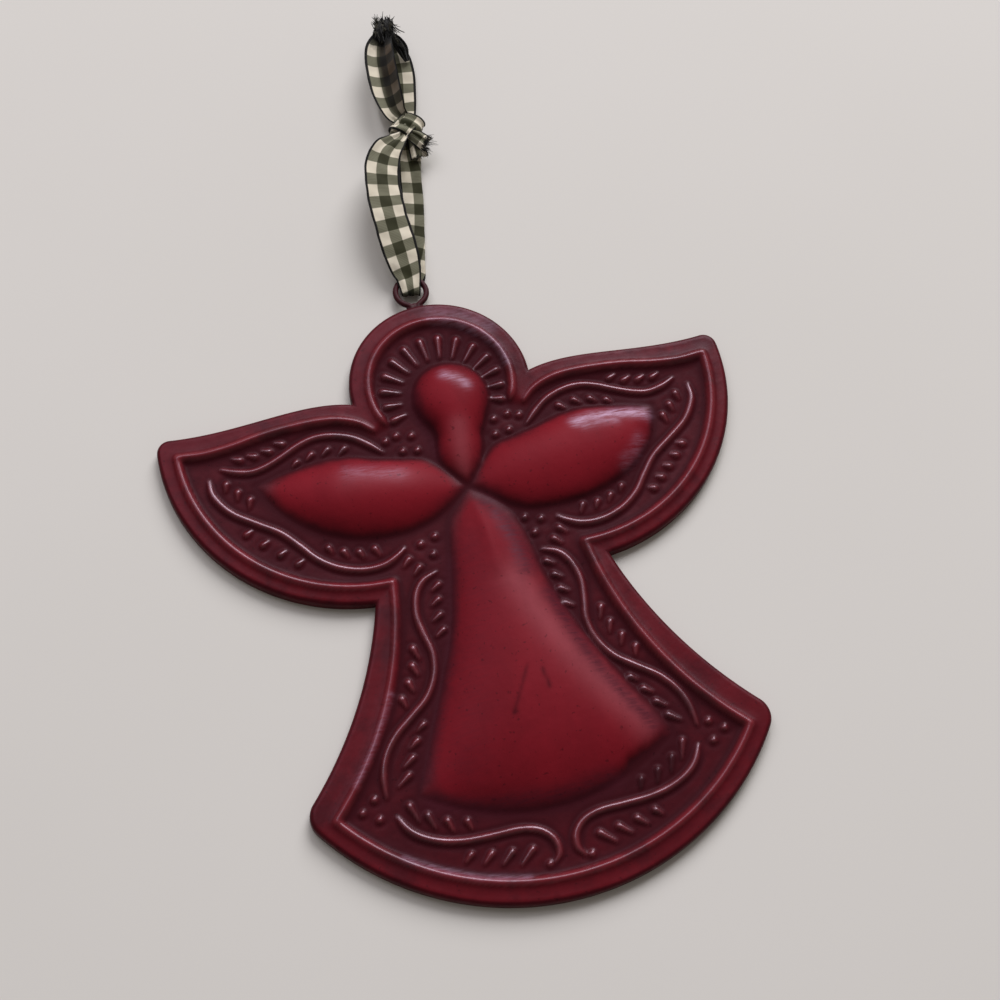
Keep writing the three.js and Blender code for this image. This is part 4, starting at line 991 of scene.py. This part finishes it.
class Nodes:
    """Short ways to build a material's nodes."""

    def __init__(self, name):
        self.material = bpy.data.materials.new(name)
        self.material.use_nodes = True
        self.tree = self.material.node_tree
        self.shader = self.tree.nodes["Principled BSDF"]

    def add(self, kind, inputs=None, **settings):
        node = self.tree.nodes.new(kind)
        for key, value in settings.items():
            setattr(node, key, value)
        for key, value in (inputs or {}).items():
            self.put(node.inputs[key], value)
        return node

    def put(self, socket, value):
        if isinstance(value, bpy.types.NodeSocket):
            self.tree.links.new(value, socket)
        else:
            socket.default_value = value

    def math(self, operation, a, b=0.0, clamp=False):
        node = self.add("ShaderNodeMath", operation=operation, use_clamp=clamp)
        self.put(node.inputs[0], a)
        self.put(node.inputs[1], b)
        return node.outputs[0]

    def times(self, a, b, clamp=False):
        return self.math("MULTIPLY", a, b, clamp)

    def plus(self, a, b, clamp=False):
        return self.math("ADD", a, b, clamp)

    def minus(self, a, b):
        return self.math("SUBTRACT", a, b)

    def mix(self, factor, a, b, blend="MIX"):
        node = self.add("ShaderNodeMix", data_type="RGBA", blend_type=blend)
        self.put(node.inputs[0], factor)
        self.put(node.inputs[6], a)
        self.put(node.inputs[7], b)
        return node.outputs[2]

    def ramp(self, value, *stops):
        node = self.add("ShaderNodeValToRGB", {"Fac": value})
        elements = node.color_ramp.elements
        while len(elements) < len(stops):
            elements.new(0.5)
        for element, (at, colour) in zip(elements, stops):
            element.position = at
            element.color = colour
        return node.outputs["Color"]

    def noise(self, scale, detail, roughness, vector=None):
        node = self.add("ShaderNodeTexNoise", {"Scale": scale, "Detail": detail, "Roughness": roughness})
        self.put(node.inputs["Vector"], vector or self.place())
        return node.outputs["Fac"]

    def place(self, scale=(1, 1, 1), turn=(0, 0, 0)):
        where = self.add("ShaderNodeTexCoord").outputs["Object"]
        return self.add("ShaderNodeMapping", {"Vector": where, "Scale": scale, "Rotation": turn}).outputs[0]

    def value(self, name):
        return self.add("ShaderNodeAttribute", attribute_name=name).outputs["Fac"]

    def bump(self, height, strength, distance):
        node = self.add("ShaderNodeBump", {"Height": height, "Strength": strength, "Distance": distance})
        return node.outputs[0]

    def shaded(self, inputs):
        """Sets inputs of the material's shader and gives the material."""
        for name, value in inputs.items():
            self.put(self.shader.inputs[name], value)
        return self.material


def rgb(*channels):
    """A colour as seen, from 0 to 255 a channel, for a socket."""
    linear = [c / 255 / 12.92 if c <= 10 else ((c / 255 + 0.055) / 1.055) ** 2.4 for c in channels]
    return (*linear, 1)


def grey(value):
    return (value, value, value, 1)


# Strength and depth, in metres, of the small unevenness of painted tin
RUMPLE = (0.35, 0.0004)


def painted_tin(name):
    """Dark red paint over thin sheet, with brown-black antiquing wiped into the hollows. Its colour also
    holds painted light: painted shade on the rim's side wall and down the skirt's left side and hem, painted
    highlights, and a painted sheen over brushed scratches.
    """
    n = Nodes(name)
    cloud = n.noise(30, 4, 0.6)
    fine = n.noise(420, 3, 0.6)
    wipe = n.noise(1, 5, 0.65, n.place((70, 24, 60), (0, 0, 0.5)))
    dark, proud, glint, puffed = (n.value(part) for part in ("dark", "proud", "glint", "puffed"))
    wear_and_sheen, dull_and_shade, painted_highlight = (n.value(part) for part in ("wear_and_sheen", "dull_and_shade", "painted_highlight"))
    red = n.mix(cloud, rgb(86, 15, 22), rgb(108, 20, 30))
    red = n.mix(puffed, red, n.mix(cloud, rgb(113, 20, 29), rgb(130, 27, 38)))
    # Painted highlight on the puffs
    red = n.mix(painted_highlight, red, rgb(162, 88, 96))
    red = n.mix(n.times(proud, 0.6), red, rgb(126, 27, 37))
    streak = n.ramp(wipe, (0.45, grey(0)), (0.65, grey(1)))
    red = n.mix(n.times(streak, 0.22), red, rgb(76, 15, 22))
    blotch = n.ramp(n.noise(95, 4, 0.62), (0.48, grey(0)), (0.64, grey(0.55)))
    red = n.mix(n.times(blotch, n.minus(1.0, puffed)), red, rgb(50, 14, 20))
    grain = n.times(n.minus(n.noise(260, 4, 0.7), 0.5), 0.9)
    edge = n.times(dark, n.minus(1.0, dark))
    # Antiquing in the hollows, with painted shade on the rim's side wall, both carried by the dark value
    antiquing_and_shade = n.plus(dark, n.times(grain, n.times(edge, 4.0)), True)
    colour = n.mix(antiquing_and_shade, red, rgb(58, 19, 25))
    speck = n.ramp(n.noise(900, 2, 0.5), (0.66, grey(0)), (0.72, grey(1)))
    colour = n.mix(n.times(speck, 0.4), colour, rgb(34, 10, 14))
    hairs = n.noise(1, 3, 0.7, n.place((260, 1500, 300), (0, 0, -0.25)))
    strokes = n.ramp(hairs, (0.35, grey(0.1)), (0.65, grey(1)))
    # Dulled paint and painted shade, darkened in brushed strokes
    dulled_and_shaded = n.times(dull_and_shade, n.plus(n.times(strokes, 0.6), 0.4))
    colour = n.mix(n.times(dulled_and_shaded, 0.85), colour, rgb(70, 26, 36))
    # Painted sheen: lavender laid along the brushed strokes
    brushed_sheen = n.times(n.times(wear_and_sheen, strokes), 0.55, True)
    colour = n.mix(brushed_sheen, colour, rgb(184, 150, 176))
    rough = n.plus(0.36, n.times(puffed, 0.14))
    rough = n.minus(rough, n.times(glint, 0.06))
    rough = n.plus(rough, n.times(n.minus(cloud, 0.5), 0.2))
    gloss = n.plus(n.times(glint, 1.05), n.times(wear_and_sheen, 0.2))
    gloss = n.plus(gloss, n.minus(0.15, n.times(puffed, 0.09)))
    waxed = n.minus(1.0, n.times(antiquing_and_shade, 0.8))
    rumple = n.plus(n.times(n.noise(170, 2, 0.5), 0.7), n.times(fine, 0.3))
    return n.shaded({
        "Base Color": colour, "Roughness": rough, "Specular IOR Level": n.times(gloss, waxed),
        "Specular Tint": (1, 0.84, 0.97, 1), "Normal": n.bump(rumple, *RUMPLE),
    })


def plain_tin(name, deep, light):
    """The same paint where nothing is embossed."""
    n = Nodes(name)
    cloud = n.noise(45, 4, 0.6)
    fine = n.noise(500, 3, 0.6)
    colour = n.mix(cloud, deep, light)
    colour = n.mix(n.ramp(fine, (0.5, grey(0)), (0.7, grey(0.7))), colour, rgb(46, 15, 20))
    return n.shaded({
        "Base Color": colour, "Roughness": n.plus(0.38, n.times(fine, 0.2)), "Specular IOR Level": 0.15,
        "Normal": n.bump(n.noise(170, 2, 0.5), *RUMPLE),
    })


def gingham(name):
    """Plain weave with woven checks: a dark middle column, dark rows and near-black selvedges."""
    n = Nodes(name)
    across, along = n.value("across"), n.value("along")
    rows = n.math("FRACT", n.math("DIVIDE", along, ROW_PITCH))
    row = n.ramp(rows, (0.0, grey(0)), (0.02, grey(1)), (0.49, grey(1)), (0.51, grey(0)))
    from_middle = n.math("DIVIDE", n.math("ABSOLUTE", across), RIBBON_WIDTH / 2)
    side = CHECK / RIBBON_WIDTH
    column = n.ramp(from_middle, (side - 0.01, grey(1)), (side + 0.02, grey(0)))
    edge = n.ramp(from_middle, (SELVEDGE, grey(0)), (SELVEDGE + 0.02, grey(1)))
    thread_a = n.math("SINE", n.times(along, 2 * math.pi / THREAD_PITCH))
    thread_b = n.math("SINE", n.times(across, 2 * math.pi / THREAD_PITCH))
    both = n.times(row, column)
    either = n.math("MAXIMUM", row, column)
    soil = n.noise(160, 3, 0.6)
    cream = n.mix(soil, rgb(204, 195, 171), rgb(225, 217, 199))
    hatch = n.plus(n.times(thread_a, 0.22), 0.5)
    olive = n.mix(hatch, rgb(84, 84, 64), rgb(132, 130, 110))
    colour = n.mix(either, cream, olive)
    colour = n.mix(both, colour, n.mix(soil, rgb(40, 40, 22), rgb(56, 56, 34)))
    # Painted shade, multiplied in, where a strip's right side sinks into its gutter
    colour = n.mix(n.value("painted_shade"), colour, rgb(92, 78, 64), "MULTIPLY")
    uneven = n.times(n.minus(n.noise(600, 3, 0.6), 0.5), 0.7)
    black = n.ramp(n.plus(n.value("black"), uneven), (0.3, grey(0)), (0.75, grey(1)))
    colour = n.mix(n.math("MAXIMUM", edge, black), colour, rgb(12, 11, 9))
    weave = n.bump(n.times(thread_a, thread_b), 0.5, 0.00005)
    return n.shaded({
        "Base Color": colour, "Roughness": 0.88, "Specular IOR Level": 0.15, "Sheen Weight": 0.15,
        "Normal": weave,
    })


def dark_thread(name):
    n = Nodes(name)
    faded = n.ramp(n.noise(700, 2, 0.5), (0.5, grey(0)), (0.72, grey(1)))
    colour = n.mix(faded, rgb(11, 10, 8), rgb(74, 70, 55))
    return n.shaded({"Base Color": colour, "Roughness": 0.9})


# Stage and light

FLOOR_HALF_SIZE = 2.5


def pale_floor():
    bm = bmesh.new()
    bmesh.ops.create_grid(bm, x_segments=1, y_segments=1, size=FLOOR_HALF_SIZE)
    mesh = bpy.data.meshes.new("floor")
    bm.to_mesh(mesh)
    bm.free()
    floor = in_scene("floor", mesh)
    n = Nodes("pale_floor")
    tone = n.mix(n.noise(5, 3, 0.5), rgb(208, 205, 198), rgb(216, 213, 207))
    mesh.materials.append(n.shaded({"Base Color": tone, "Roughness": 0.9}))


LIT_POINT = Vector((0, -0.01, 0))


def lamp(name, place, size, power, colour):
    data = bpy.data.lights.new(name, "AREA")
    data.shape = "DISK"
    data.size = size
    data.energy = power
    data.color = colour
    light = in_scene(name, data)
    place = Vector(place)
    aim = (LIT_POINT - place).to_track_quat("-Z", "Y").to_matrix().to_4x4()
    light.matrix_world = Matrix.Translation(place) @ aim


def light_scene():
    world = bpy.data.worlds.new("studio")
    world.use_nodes = True
    background = world.node_tree.nodes["Background"]
    background.inputs["Color"].default_value = (0.84, 0.78, 0.72, 1)
    background.inputs["Strength"].default_value = 0.24
    bpy.context.scene.world = world
    lamp("window", (1.15, 1.95, 1.6), 1.9, 78, (0.97, 0.96, 1))
    lamp("sky", (-0.5, 1.5, 1.95), 2.0, 22, (0.92, 0.9, 1))


# Build

bpy.context.scene.view_settings.view_transform = "Standard"
place_camera()
front_sheet(painted_tin("antiqued_red_tin"))
back_paint = plain_tin("back_red_tin", rgb(62, 14, 20), rgb(92, 22, 30))
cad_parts["back_plate"].data.materials[0] = back_paint
eye(plain_tin("eye_paint", rgb(46, 13, 19), rgb(70, 19, 27)))
ribbon(gingham("gingham_cloth"), dark_thread("dark_thread"))
pale_floor()
light_scene()
